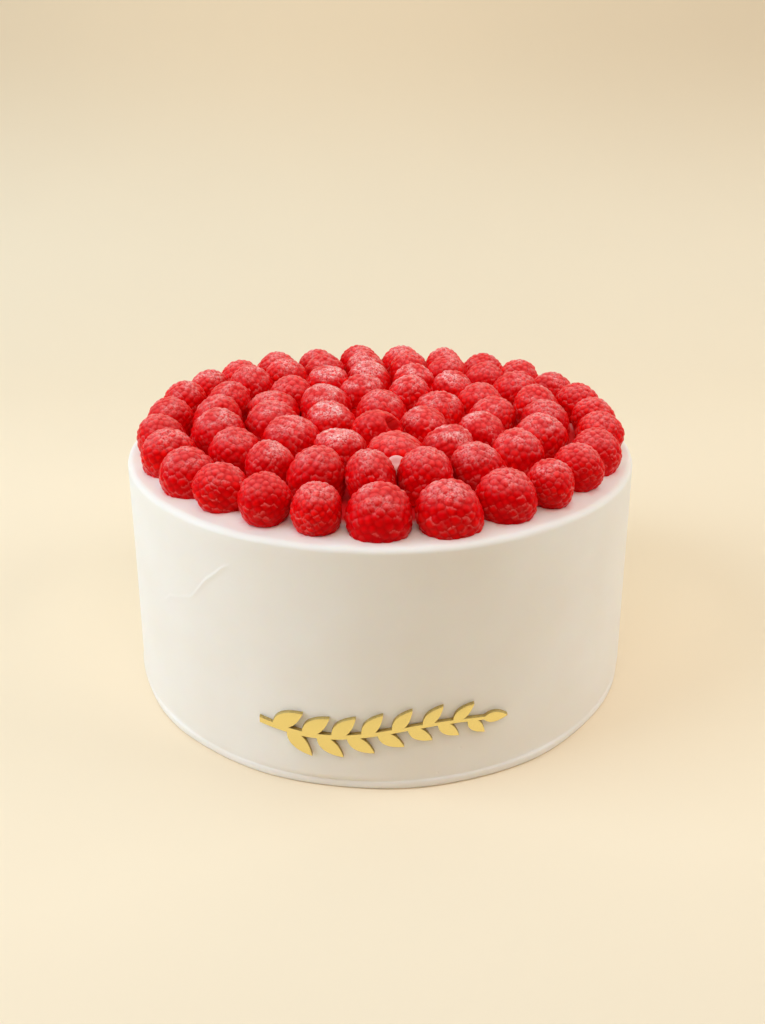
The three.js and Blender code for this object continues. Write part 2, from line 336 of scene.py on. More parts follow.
def settle(
    piece: bpy.types.Object,
    name: str,
    materials: Iterable[bpy.types.Material],
    nodes: Iterable[str],
) -> bpy.types.Object:
    """Finish a piece: scale its mesh to metres, dress it and tie it to the frame.

    Args:
        piece: The object, modelled in millimetres at its place.
        name: The piece's name.
        materials: Its materials, in the order of its material slots.
        nodes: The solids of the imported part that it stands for.

    Returns:
        The finished piece.
    """
    piece.data.transform(Matrix.Scale(MM, 4))
    piece.name = name
    piece.data.name = name
    piece.data.materials.clear()
    for material in materials:
        piece.data.materials.append(material)
    select_only(piece)
    bpy.ops.object.shade_smooth()
    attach(piece, BODY)
    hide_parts(*nodes)
    piece.data.calc_loop_triangles()
    log.info("%s: %d triangles", name, len(piece.data.loop_triangles))
    return piece


# --- Materials ----------------------------------------------------------------------------------


def add_node(
    tree: bpy.types.NodeTree,
    kind: str,
    inputs: dict[str | int, object] | None = None,
    **settings: object,
) -> bpy.types.Node:
    """Add a shader node with its settings, its values and its links.

    Args:
        tree: The material's node tree.
        kind: The node's type, without the words that all of them start with.
        inputs: For each named or numbered input a value, the output to link, or the node whose
            first output in use is linked.
        **settings: The node's own settings by name.

    Returns:
        The new node.
    """
    node = tree.nodes.new("ShaderNode" + kind)
    for name, value in settings.items():
        setattr(node, name, value)
    for key, value in (inputs or {}).items():
        if isinstance(value, bpy.types.Node):
            value = next(output for output in value.outputs if output.enabled)
        if isinstance(value, bpy.types.NodeSocket):
            tree.links.new(value, node.inputs[key])
        else:
            node.inputs[key].default_value = value
    return node


def start_material(
    name: str,
) -> tuple[bpy.types.Material, bpy.types.NodeTree, bpy.types.NodeSocket]:
    """Make a material with an empty node tree.

    Args:
        name: The material's name.

    Returns:
        The material, its tree and the place on the piece, in metres.
    """
    material = bpy.data.materials.new(name)
    material.use_nodes = True
    tree = material.node_tree
    tree.nodes.clear()
    return material, tree, add_node(tree, "TexCoord").outputs["Object"]


def stored(tree: bpy.types.NodeTree, *names: str) -> list[bpy.types.NodeSocket]:
    """Give the outputs that read numbers stored on the mesh."""
    return [add_node(tree, "Attribute", attribute_name=name).outputs["Fac"] for name in names]


def lay_colours(
    tree: bpy.types.NodeTree, base: str, *layers: tuple[object, str]
) -> bpy.types.Node:
    """Lay colours over one another.

    Args:
        tree: The material's node tree.
        base: The lowest colour.
        *layers: Each further colour, after the node or output that says how much of it shows.

    Returns:
        The node that gives the mixed colour.
    """
    mixed = linear(base)
    for cover, colour in layers:
        inputs = {"Factor": cover, "A": mixed, "B": linear(colour)}
        mixed = add_node(tree, "Mix", inputs, data_type="RGBA")
    return mixed


def show_surface(tree: bpy.types.NodeTree, inputs: dict[str | int, object]) -> None:
    """Give the material its surface, with the shader's values and links."""
    shader = add_node(tree, "BsdfPrincipled", inputs)
    add_node(tree, "OutputMaterial", {"Surface": shader})


# --- Raspberries --------------------------------------------------------------------------------


@dataclass(frozen=True)
class RaspberrySkin:
    """Fresh raspberry: tight skin over clear juice, its crowns paled by whitish dust, fine down and
    a painted highlight, with painted shade in its creases.
    """

    crown: str = "#fa140e"
    juice: str = "#e0020a"
    # Painted shade: the colour that the creases between the drupelets darken to.
    crease_shade: str = "#cc0106"
    # Painted highlight, with some haze: the paler colour of the upward-facing crowns and of the
    # glints.
    haze_and_highlight: str = "#ff7a74"
    # Whitish bloom, also laid along the painted glint lines.
    bloom_and_glints: str = "#ffd2ca"
    down: str = "#ff8f88"
    hair_root: str = "#f59a90"
    hair_tip: str = "#ffe4dd"
    roughness: float = 0.28
    dry_roughness: float = 0.6
    index_of_refraction: float = 1.4
    specular_level: float = 0.06
    crown_specular_level: float = 0.4
    sheen: float = 0.2
    sheen_roughness: float = 0.3
    scatter: float = 0.7
    scatter_reach: tuple[float, float, float] = (1.0, 0.1, 0.07)
    scatter_mm: float = 1.8
    grain_mm: float = 0.7
    grain_limits: tuple[float, float] = (0.3, 0.7)
    patch_mm: float = 6.0
    patch_limits: tuple[float, float] = (0.36, 0.62)
    pore_mm: float = 1.0 / 2.6
    pore_depth_mm: float = 0.1
    hair_patch_mm: float = 2.5

    def skin(self) -> bpy.types.Material:
        """Make the material of the berries' skin.

        Returns:
            A translucent red. The attribute crease darkens it between the drupelets with painted
            shade, tone makes some drupelets lighter, a painted highlight with haze pales the
            berry's crown where it faces up and paints glints along the upper rims of the drupelets,
            and whitish dust and down lie on top and along the painted glints.
        """
        material, tree, place = start_material("raspberry_skin_fresh_with_bloom")
        crease, tone, haze_and_highlight, bloom_and_glints = stored(tree, "crease", "tone", "haze_and_highlight", "bloom_and_glints")
        # The whitish dust, and the painted glint lines laid with it, gather in grains, and the
        # grains in patches that have not been rubbed clean.
        cover = bloom_and_glints
        masks = ((self.grain_mm, self.grain_limits), (self.patch_mm, self.patch_limits))
        for spacing, (low, high) in masks:
            size = {"Vector": place, "Scale": 1.0 / (spacing * MM), "Detail": 1.5}
            limits = {"Value": add_node(tree, "TexNoise", size), "From Min": low, "From Max": high}
            mask = add_node(tree, "MapRange", limits, interpolation_type="SMOOTHSTEP")
            cover = add_node(tree, "Math", {0: cover, 1: mask}, operation="MULTIPLY")
        rough, shine = (
            add_node(tree, "MapRange", {"Value": value, "To Min": low, "To Max": high})
            for value, low, high in (
                (cover, self.roughness, self.dry_roughness),
                (haze_and_highlight, self.specular_level, self.crown_specular_level),
            )
        )
        size = {"Vector": place, "Scale": 1.0 / (self.pore_mm * MM), "Detail": 2.0}
        pores = {
            "Strength": 0.2,
            "Distance": self.pore_depth_mm * MM,
            "Height": add_node(tree, "TexNoise", size),
        }
        # Layered colours: the crease layer is painted shade, and the paler layer over it a painted
        # highlight with haze.
        inputs = {
            "Base Color": lay_colours(
                tree,
                self.juice,
                (tone, self.crown),
                (crease, self.crease_shade),
                (haze_and_highlight, self.haze_and_highlight),
                (cover, self.bloom_and_glints),
            ),
            "Roughness": rough,
            "IOR": self.index_of_refraction,
            "Subsurface Weight": self.scatter,
            "Subsurface Radius": self.scatter_reach,
            "Subsurface Scale": self.scatter_mm * MM,
            "Specular IOR Level": shine,
            "Sheen Weight": add_node(tree, "Math", {0: bloom_and_glints, 1: self.sheen}, operation="MULTIPLY"),
            "Sheen Roughness": self.sheen_roughness,
            "Sheen Tint": linear(self.down),
            "Normal": add_node(tree, "Bump", pores),
        }
        show_surface(tree, inputs)
        return material

    def hairs(self) -> bpy.types.Material:
        """Make the material of the fine dry hairs, some of which are paler."""
        material, tree, place = start_material("raspberry_hair_dry")
        size = {"Vector": place, "Scale": 1.0 / (self.hair_patch_mm * MM), "Detail": 1.0}
        pale = (add_node(tree, "TexNoise", size), self.hair_tip)
        colour = lay_colours(tree, self.hair_root, pale)
        show_surface(tree, {"Base Color": colour, "Roughness": self.dry_roughness})
        return material


@dataclass(frozen=True)
class BerryPlace:
    """Where one raspberry stands and how it leans, in millimetres and radians."""

    x: float
    y: float
    width: float
    height: float
    lean: float
    lean_toward: float
    spin: float
    cake_height: float
    tip_ratio: float

    def centre(self) -> Vector:
        """Give the middle of the berry's widest girth."""
        tip = self.cake_height + self.height
        return Vector((self.x, self.y, tip - self.tip_ratio * self.width))

    def turn(self) -> Matrix:
        """Give the berry's turn: spun about its own axis, then leaned."""
        axis = Vector((-math.sin(self.lean_toward), math.cos(self.lean_toward), 0.0))
        return Matrix.Rotation(self.lean, 4, axis) @ Matrix.Rotation(self.spin, 4, UP)


@dataclass(frozen=True)
class BerryRing:
    """One ring of raspberries on the cake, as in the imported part."""

    count: int
    radius: float
    radial_jitter: float
    start_angle: float
    width: float
    width_spread: float
    height: float
    height_spread: float
    lean: float
    seed: int
    first_widths: tuple[float, ...] = ()
    tall: bool = True

    def widths(self) -> list[float]:
        """Give the width of each berry."""
        share = [1.0 + self.width_spread * sway(i, self.seed) for i in range(self.count)]
        drawn = [self.width * s for s in share]
        return [*self.first_widths, *drawn[len(self.first_widths) :]]

    def places(self, cake_height: float, tip_ratio: float) -> list[BerryPlace]:
        """Give each berry an arc in proportion to its width.

        Args:
            cake_height: Height of the icing that the berries stand on.
            tip_ratio: Height of a berry above its widest girth, as a share of its width.

        Returns:
            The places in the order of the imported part's nodes.
        """
        widths = self.widths()
        angle = math.radians(self.start_angle)
        places = []
        for i, width in enumerate(widths):
            radius = self.radius + self.radial_jitter * sway(i, self.seed + 1)
            places.append(
                BerryPlace(
                    x=radius * math.cos(angle),
                    y=radius * math.sin(angle),
                    width=width,
                    height=self.height + self.height_spread * sway(i, self.seed + 2),
                    lean=math.radians(self.lean) * draw(i, self.seed + 3),
                    lean_toward=2.0 * math.pi * draw(i, self.seed + 4),
                    spin=2.0 * math.pi * draw(i, self.seed + 5),
                    cake_height=cake_height,
                    tip_ratio=tip_ratio,
                )
            )
            following = widths[(i + 1) % self.count]
            angle += math.pi * (width + following) / sum(widths)
        return places


class Build(Enum):
    """How a raspberry is grown: whole, or with the open end that shows when it lies on its side."""

    UPRIGHT = "upright"
    OPEN = "open"


@dataclass(frozen=True)
class Raspberry:
    """One raspberry at its middle size, tip up, with the origin in its widest girth."""

    width: float = 18.8
    tip_ratio: float = 0.5
    base_ratio: float = 0.6
    tip_taper: float = 0.08
    drupelet_pitch: float = 2.6
    tip_share: float = 0.63
    foot_share: float = 1.05
    core_inset: float = 1.0
    last_row_angle: float = 146.0
    open_row_angle: float = 168.0
    pitch_spread: float = 0.08
    place_jitter: float = 0.2
    size_jitter: float = 0.15
    height_jitter: float = 0.22
    voxel: float = 0.3
    faces: int = 14000
    crease_width: float = 0.9
    crease_power: float = 1.5
    # Width of the painted glint line along a drupelet's upper rim, and the share of drupelets that
    # carry none.
    rim_width: float = 0.55
    dry_share: float = 0.35
    uneven: float = 0.075
    hair_count: int = 36
    hair_length: float = 2.2
    hair_radius: float = 0.085
    hair_taper: float = 0.4
    hair_joints: int = 4
    hair_bend: float = 0.42
    hair_sag: float = 0.16
    hair_lay: float = 0.9
    hair_lay_spread: float = 0.3
    hair_sizes: tuple[float, float] = (0.45, 1.0)
    hair_size_power: float = 1.6
    root_rise: float = 0.55
    root_aside: float = 0.62
    hollow_mouth: float = 2.9
    hollow_flare: float = 0.5
    hollow_end: float = 1.7
    hollow_depth: float = 8.5
    hollow_overshoot: float = 1.0
    open_cut_share: float = 0.84
    cut_share: float = 0.42
    outline_steps: int = 400
    tip_gap: float = 0.04
    arc_share: float = 0.55

    def outline(self, polar: float) -> tuple[float, float]:
        """Give a point of the berry's outline.

        Args:
            polar: Angle from the tip, in radians.

        Returns:
            The point's distance from the axis and its height.
        """
        up = math.cos(polar)
        girth = 0.5 * self.width * (1.0 - self.tip_taper * max(0.0, up))
        rise = (self.tip_ratio if up > 0.0 else self.base_ratio) * self.width
        return girth * math.sin(polar), rise * up

    def seats(self, seed: int, build: Build) -> list[tuple[Vector, float]]:
        """Seat the drupelets on a spiral from the tip downwards, closely packed and uneven.

        Args:
            seed: Which berry this is.
            build: Whether the drupelets run on round the open end.

        Returns:
            The centre and the radius of each drupelet. Those low down are flatter, so they belong
            to larger spheres.
        """
        steps = self.outline_steps
        last = self.open_row_angle if build is Build.OPEN else self.last_row_angle
        polars = [math.radians(last) * i / steps for i in range(steps + 1)]
        track = [self.outline(p) for p in polars]
        pitch = self.drupelet_pitch * (1.0 + self.pitch_spread * sway(seed, Chance.PITCH))
        cell = pitch * pitch * math.sin(math.radians(60.0))
        room = [0.0]
        for (r0, z0), (r1, z1) in zip(track, track[1:]):
            room.append(room[-1] + math.pi * (r0 + r1) * math.hypot(r1 - r0, z1 - z0) / cell)
        seats: list[tuple[Vector, float]] = []
        jitter = self.place_jitter * pitch
        for i in range(int(room[-1])):
            polar = float(np.interp(i + 0.5, room, polars))
            polar += jitter * sway(i, seed + Chance.DRUPELET_POLAR) / (self.arc_share * self.width)
            polar = max(self.tip_gap, polar)
            distance, height = self.outline(polar)
            aside = jitter * sway(i, seed + Chance.DRUPELET_AROUND)
            angle = i * GOLDEN_ANGLE + aside / max(distance, pitch)
            lowness = polar / polars[-1]
            radius = pitch * lerp(self.tip_share, self.foot_share, lowness**2)
            radius *= 1.0 + self.size_jitter * sway(i, seed + Chance.DRUPELET_SIZE)
            crown = Vector((distance * math.cos(angle), distance * math.sin(angle), height))
            sink = radius + self.height_jitter * draw(i, seed + Chance.DRUPELET_SINK)
            seats.append((crown - crown.normalized() * sink, radius))
        return seats

    def drupelet(self) -> bpy.types.Object:
        """Model one drupelet as a round bead of radius 1."""
        return primitive(bpy.ops.mesh.primitive_ico_sphere_add, subdivisions=2, radius=1.0)

    def core(self, build: Build) -> bpy.types.Object:
        """Model the body that the drupelets sit on.

        Args:
            build: Whether the open end is kept.

        Returns:
            The body, a little inside the crowns.
        """
        body = primitive(
            bpy.ops.mesh.primitive_uv_sphere_add, segments=32, ring_count=20, radius=1.0
        )
        points = points_of(body)
        up = points[:, 2]
        share = 1.0 - self.core_inset / (0.5 * self.width)
        girth = 0.5 * self.width * share * (1.0 - self.tip_taper * np.maximum(0.0, up))
        rise = np.where(up > 0.0, self.tip_ratio, self.base_ratio) * self.width * share
        move_points(body, points * np.column_stack((girth, girth, rise)))
        if build is Build.OPEN:
            slice_piece(body, -self.open_cut_share * self.base_ratio * self.width)
        return body

    def hollow(self) -> bpy.types.Object:
        """Model the tapered hollow that the stalk leaves in the open end."""
        depth = self.hollow_depth + 2.0 * self.hollow_overshoot
        foot = -self.base_ratio * self.width - self.hollow_overshoot
        return primitive(
            bpy.ops.mesh.primitive_cone_add,
            vertices=20,
            radius1=self.hollow_mouth + self.hollow_flare,
            radius2=self.hollow_end,
            depth=depth,
            location=(0.0, 0.0, foot + depth / 2.0),
        )

    def hair(self) -> bpy.types.Object:
        """Model one hair: a thin three-sided cone, bent over in steps."""
        strand = primitive(
            bpy.ops.mesh.primitive_cone_add,
            vertices=3,
            radius1=self.hair_radius,
            radius2=self.hair_taper * self.hair_radius,
            depth=self.hair_length,
            location=(0.0, 0.0, self.hair_length / 2.0),
        )
        for joint in range(1, self.hair_joints):
            slice_piece(strand, self.hair_length * joint / self.hair_joints, drop_below=False)
        points = points_of(strand)
        bent = self.hair_length * (points[:, 2] / self.hair_length) ** 2
        points[:, 0] += self.hair_bend * bent
        points[:, 2] -= self.hair_sag * bent
        move_points(strand, points)
        return strand

    def hair_places(self, seats: list[tuple[Vector, float]], seed: int) -> list[Matrix]:
        """Root the hairs between the drupelets and lay them over the crowns.

        Args:
            seats: The drupelets' centres and radii.
            seed: Which berry this is.

        Returns:
            A place for each hair.
        """
        places = []
        for i in range(self.hair_count):
            seat, radius = seats[int(draw(i, seed + Chance.HAIR_ROOT) * len(seats))]
            outward = seat.normalized()
            turn = 2.0 * math.pi * draw(i, seed + Chance.HAIR_SIDE)
            side = Matrix.Rotation(turn, 3, outward) @ outward.orthogonal().normalized()
            root = seat + outward * radius * self.root_rise + side * radius * self.root_aside
            lay = self.hair_lay + self.hair_lay_spread * sway(i, seed + Chance.HAIR_LAY)
            rise = (outward - side * lay).normalized()
            over = (-side - rise * (-side).dot(rise)).normalized()
            turned = Matrix((over, rise.cross(over), rise)).transposed().to_4x4()
            long = draw(i, seed + Chance.HAIR_SIZE) ** self.hair_size_power
            size = Matrix.Scale(lerp(*self.hair_sizes, long), 4)
            places.append(Matrix.Translation(root) @ turned @ size)
        return places

    def weigh(self, body: bpy.types.Object, seats: list[tuple[Vector, float]], seed: int) -> None:
        """Store how far into a crease each vertex lies, which the skin darkens with painted shade,
        where a painted glint runs along a drupelet's upper rim, and how light its drupelet is.

        Args:
            body: The grown berry.
            seats: The drupelets' centres and radii.
            seed: Which berry this is.
        """
        tree = KDTree(len(seats))
        for i, (seat, _) in enumerate(seats):
            tree.insert(seat, i)
        tree.balance()
        points = points_of(body)
        crease, rim, tone = (np.zeros(len(points)) for _ in range(3))
        nearest = 5
        for i, point in enumerate(points):
            found = tree.find_n(Vector(point), nearest)
            beads = sorted((away - seats[j][1], j) for _, j, away in found)
            (near, own), (far, beside) = beads[:2]
            across = seats[beside][0] - seats[own][0]
            crease[i] = 1.0 - min(1.0, (far - near) / self.crease_width)
            # Painted highlight: a thin glint line along the upper rim of each wet drupelet, where
            # its neighbour above meets it.
            line = 1.0 - min(1.0, (far - near) / self.rim_width)
            wet = max(0.0, draw(own, seed + Chance.DRUPELET_WET) - self.dry_share)
            rim[i] = line * max(0.0, across.z / across.length) * wet / (1.0 - self.dry_share)
            tone[i] = draw(own, seed + Chance.DRUPELET_TONE)
        for name, values in (("crease", crease**self.crease_power), ("rim", rim), ("tone", tone)):
            write_weight(body, name, values)

    def grow(self, seed: int, build: Build) -> bpy.types.Object:
        """Grow one berry.

        Args:
            seed: Which berry this is.
            build: Whether it stands or lies open.

        Returns:
            The berry with its hairs; the skin is its first material slot and the hairs its second.
        """
        seats = self.seats(seed, build)
        bead = self.drupelet()
        beads = [
            copy_piece(bead, Matrix.Translation(seat) @ Matrix.Scale(radius, 4))
            for seat, radius in seats
        ]
        remove_piece(bead)
        body = join_pieces([self.core(build), *beads])
        apply_modifier(body, "REMESH", mode="VOXEL", voxel_size=self.voxel)
        if build is Build.OPEN:
            hollow = self.hollow()
            apply_modifier(body, "BOOLEAN", operation="DIFFERENCE", solver="EXACT", object=hollow)
            remove_piece(hollow)
        else:
            slice_piece(body, -self.cut_share * self.width)
        apply_modifier(body, "SMOOTH", factor=0.5, iterations=1)
        ratio = self.faces / max(1, sum(len(p.vertices) - 2 for p in body.data.polygons))
        apply_modifier(body, "DECIMATE", ratio=min(1.0, ratio))
        self.weigh(body, seats, seed)
        strand = self.hair()
        strands = [copy_piece(strand, place) for place in self.hair_places(seats, seed)]
        remove_piece(strand)
        hairs = join_pieces(strands)
        for name, value in (("crease", 0.0), ("rim", 0.0), ("tone", 1.0)):
            write_weight(hairs, name, np.full(len(hairs.data.vertices), value))
        for slot, piece in enumerate((body, hairs)):
            piece.data.materials.clear()
            for _ in range(2):
                piece.data.materials.append(None)
            for polygon in piece.data.polygons:
                polygon.material_index = slot
        berry = join_pieces([body, hairs])
        self.misshape(berry, seed)
        return berry

    def misshape(self, berry: bpy.types.Object, seed: int) -> None:
        """Make a berry a little wider one way, crooked and lumpy, as grown fruit is.

        Args:
            berry: The grown berry.
            seed: Which berry it is.
        """
        points = points_of(berry)
        wider = self.uneven * sway(seed, Chance.WIDER)
        height = points[:, 2] / self.width
        turn = np.arctan2(points[:, 1], points[:, 0])
        swirl = 3.0 * turn + 5.0 * height + 6.0 * draw(seed, Chance.LUMPS)
        lumps = 1.0 + 0.5 * self.uneven * np.sin(swirl)
        points[:, 0] *= (1.0 + wider) * lumps
        points[:, 1] *= (1.0 - wider) * lumps
        points[:, 0] += 2.0 * self.uneven * sway(seed, Chance.CROOKED) * points[:, 2]
        move_points(berry, points)


@dataclass
class RaspberryTopping:
    """All the raspberries on the cake: two rings of single berries, and a heap inside them."""

    cake_height: float
    ceiling: float
    skin: RaspberrySkin = field(default_factory=RaspberrySkin)
    pressed: Raspberry = field(default_factory=Raspberry)
    tall: Raspberry = field(
        default_factory=lambda: Raspberry(base_ratio=0.75, cut_share=0.64, faces=7600)
    )
    loose: Raspberry = field(default_factory=lambda: Raspberry(faces=7600))
    kinds: int = 6
    open_kinds: int = 3
    fit: float = 1.03
    close_fit: float = 1.06
    foot_depth: float = 0.7
    outer: BerryRing = BerryRing(
        count=27,
        radius=84.5,
        radial_jitter=0.6,
        start_angle=-90.0,
        width=18.8,
        width_spread=0.1,
        height=15.3,
        height_spread=0.7,
        lean=7.0,
        seed=1444,
        first_widths=(21.3, 21.3),
        tall=False,
    )
    middle: BerryRing = BerryRing(
        count=21,
        radius=64.4,
        radial_jitter=0.4,
        start_angle=-92.5,
        width=18.7,
        width_spread=0.06,
        height=18.1,
        height_spread=0.9,
        lean=12.0,
        seed=11,
    )
    inner: BerryRing = BerryRing(
        count=14,
        radius=44.2,
        radial_jitter=0.8,
        start_angle=-109.0,
        width=19.2,
        width_spread=0.07,
        height=18.3,
        height_spread=1.2,
        lean=26.0,
        seed=23,
    )
    core: BerryRing = BerryRing(
        count=7,
        radius=23.0,
        radial_jitter=0.8,
        start_angle=-95.0,
        width=19.6,
        width_spread=0.06,
        height=18.2,
        height_spread=1.2,
        lean=28.0,
        seed=37,
    )
    centre: BerryRing = BerryRing(
        count=1,
        radius=1.5,
        radial_jitter=0.0,
        start_angle=60.0,
        width=20.4,
        width_spread=0.0,
        height=18.6,
        height_spread=0.0,
        lean=18.0,
        seed=41,
    )
    # How much whitish dust each berry carries; the painted glint lines in its colour scale with it.
    outer_bloom: float = 0.75
    middle_bloom: float = 0.95
    bloom_spread: tuple[float, float] = (0.35, 1.4)
    heap_bloom: tuple[float, float] = (0.3, 1.8)
    tipped_bloom: float = 0.1
    crown_reach: tuple[float, float] = (0.38, 1.0)
    crown_least: float = 0.3
    crown_haze_and_highlight: float = 0.55
    crown_dust: float = 0.7
    crease_dust: float = 0.1
    crease_redness: float = 0.8
    tilt_limits: tuple[float, float] = (-0.4, 0.15)
    glint_limits: tuple[float, float] = (-0.8, 0.0)
    glint_highlight: float = 0.9
    ripeness: tuple[float, float] = (0.2, 1.2)
    ripeness_step: float = 1e-4
    heap_lift: float = 1.5
    lying_share: float = 0.42
    lying_lean: tuple[float, float] = (48.0, 108.0)
    tipped_lean: float = 127.0
    tipped_toward: float = 141.0
    bed_radius: float = 48.5
    bed_height: float = 7.4
    bed_round: float = 1.4
    bed_voxel: float = 0.9
    bed_bump: float = 0.45
    bed_pitch: float = 2.8
    bed_warp: float = 0.8
    bed_warp_rate: float = 0.37
    bed_warp_start: float = 0.6
    bed_sides: int = 72
    bed_edge_cuts: int = 4
    bed_raised: tuple[float, float] = (2.0, 0.5)
    bed_crease: tuple[float, float] = (0.1, -0.4)
    bed_tone: tuple[float, float] = (-0.3, 0.8)
    cream_place: tuple[float, float, float] = (6.1, -55.5, 97.2)
    cream_radii: tuple[float, float, float] = (7.4, 3.6, 5.4)
    cream_cuts: int = 5
    cream_ripple: float = 0.17
    cream_rates: tuple[float, float] = (4.1, 5.3)
    cream_starts: tuple[float, float] = (2.0, 1.0)
    cream_soak_and_red_glow: tuple[float, float] = (0.3, -0.3)
    cream_stain: float = 0.75
    pressed_seed: int = 200
    tall_seed: int = 300
    open_seed: int = 401
    seed_step: int = 7

    def places(self, ring: BerryRing) -> list[BerryPlace]:
        """Give the places of one ring's berries."""
        return ring.places(self.cake_height, self.pressed.tip_ratio)

    def standing_places(self) -> list[BerryPlace]:
        """Give the places of all the single berries, outer ring first."""
        return self.places(self.outer) + self.places(self.middle)

    def dust(self, piece: bpy.types.Object, middle: Vector, amount: float) -> None:
        """Pale the upward-facing top of a berry that stands at its place with haze and a painted
        highlight, paint glints on it and lay whitish dust on it.

        Args:
            piece: The placed berry.
            middle: Its middle.
            amount: How much whitish dust, and painted glint along with it, this berry carries, from
                0 to 1.
        """
        away = points_of(piece) - np.array(middle)
        steep = away[:, 2] / np.linalg.norm(away, axis=1)
        facing = rows_of(piece.data.vertex_normals, "vector")[:, 2]
        crease, rim, tone = (read_weight(piece, name) for name in ("crease", "rim", "tone"))
        # Painted highlight: the crown pales most where the surface faces up towards the light, and
        # the creases keep their unlit red.
        tilt = smooth_step(facing - steep, *self.tilt_limits)
        crown = smooth_step(steep, *self.crown_reach)
        crown *= self.crown_least + (1.0 - self.crown_least) * tilt
        # Painted highlight: glints along the upper rims of drupelets that do not face down, in the
        # pale highlight colour and in the dust colour.
        glint = rim * smooth_step(facing, *self.glint_limits)
        haze_and_highlight = self.crown_haze_and_highlight * crown * (1.0 - self.crease_redness * crease)
        dust_and_glints = amount * crown * (self.crown_dust + self.crease_dust * crease + glint)
        ripe = lerp(*self.ripeness, draw(round(amount / self.ripeness_step), Chance.RIPENESS))
        weights = {"haze_and_highlight": haze_and_highlight + self.glint_highlight * glint, "bloom_and_glints": dust_and_glints, "tone": ripe * tone}
        for name, values in weights.items():
            write_weight(piece, name, np.clip(values, 0.0, 1.0))

    def stand(
        self,
        kind: bpy.types.Object,
        place: BerryPlace,
        spin: float,
        floor: float,
        bloom_and_glints: float,
        fit: float,
    ) -> bpy.types.Object:
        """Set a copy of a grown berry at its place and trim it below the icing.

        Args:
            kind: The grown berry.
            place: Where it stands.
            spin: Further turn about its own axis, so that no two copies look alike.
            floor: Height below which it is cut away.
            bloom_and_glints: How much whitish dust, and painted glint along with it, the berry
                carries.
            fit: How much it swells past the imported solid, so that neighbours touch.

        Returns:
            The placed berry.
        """
        scale = fit * place.width / self.pressed.width
        where = Matrix.Translation(place.centre()) @ place.turn()
        where = where @ Matrix.Rotation(spin, 4, UP) @ Matrix.Scale(scale, 4)
        piece = copy_piece(kind, where)
        points = points_of(piece)
        points[:, 2] = np.minimum(points[:, 2], self.ceiling)
        move_points(piece, points)
        slice_piece(piece, floor)
        self.dust(piece, place.centre(), bloom_and_glints)
        return piece

    def bed(self) -> bpy.types.Object:
        """Model the low mound of crushed berries that the heap sinks into."""
        depth = self.bed_height + self.foot_depth
        mound = primitive(
            bpy.ops.mesh.primitive_cylinder_add,
            vertices=self.bed_sides,
            radius=self.bed_radius,
            depth=depth,
            location=(0.0, 0.0, self.cake_height - self.foot_depth + depth / 2.0),
        )
        apply_modifier(
            mound,
            "BEVEL",
            width=self.bed_round,
            segments=self.bed_edge_cuts,
            limit_method="ANGLE",
            angle_limit=1.0,
        )
        apply_modifier(mound, "REMESH", mode="VOXEL", voxel_size=self.bed_voxel)
        points = points_of(mound)
        warp = self.bed_warp * np.sin(points[:, [1, 0]] * self.bed_warp_rate + self.bed_warp_start)
        x, y = (points[:, :2] + warp).T * 2.0 * math.pi / self.bed_pitch
        half, tall = 0.5 * x, math.sin(math.radians(60.0)) * y
        bumps = (np.cos(x) + np.cos(half + tall) + np.cos(half - tall)) / 3.0
        top = self.cake_height + self.bed_height
        raised = smooth_step(points[:, 2], *(top - down for down in self.bed_raised))
        points[:, 2] += self.bed_bump * (bumps - 1.0) * raised
        move_points(mound, points)
        none = np.zeros(len(points))
        # Painted shade: the hollows between the bumps take the darker crease colour, and the bump
        # tops the lighter crown colour.
        weights = {
            "crease": smooth_step(bumps, *self.bed_crease),
            "tone": smooth_step(bumps, *self.bed_tone),
        }
        for name in ("crease", "rim", "tone", "haze_and_highlight", "bloom_and_glints"):
            write_weight(mound, name, weights.get(name, none))
        return mound

    def cream(self) -> bpy.types.Object:
        """Model the dab of icing that is squeezed up between the heap and the ring before it."""
        add_ball = bpy.ops.mesh.primitive_ico_sphere_add
        dab = primitive(add_ball, subdivisions=self.cream_cuts, radius=1.0)
        points = points_of(dab)
        ripple = np.sin(points[:, :2] * self.cream_rates + self.cream_starts).prod(axis=1)
        points *= 1.0 + self.cream_ripple * ripple[:, None]
        move_points(dab, points * np.array(self.cream_radii) + np.array(self.cream_place))
        write_weight(dab, "stain", np.full(len(points), self.cream_stain))
        # Partly juice soaked in, partly a painted red glow of the berries' shade: the dab's lower
        # half turns red.
        write_weight(dab, "soak_and_red_glow", smooth_step(points[:, 2], *self.cream_soak_and_red_glow))
        return dab

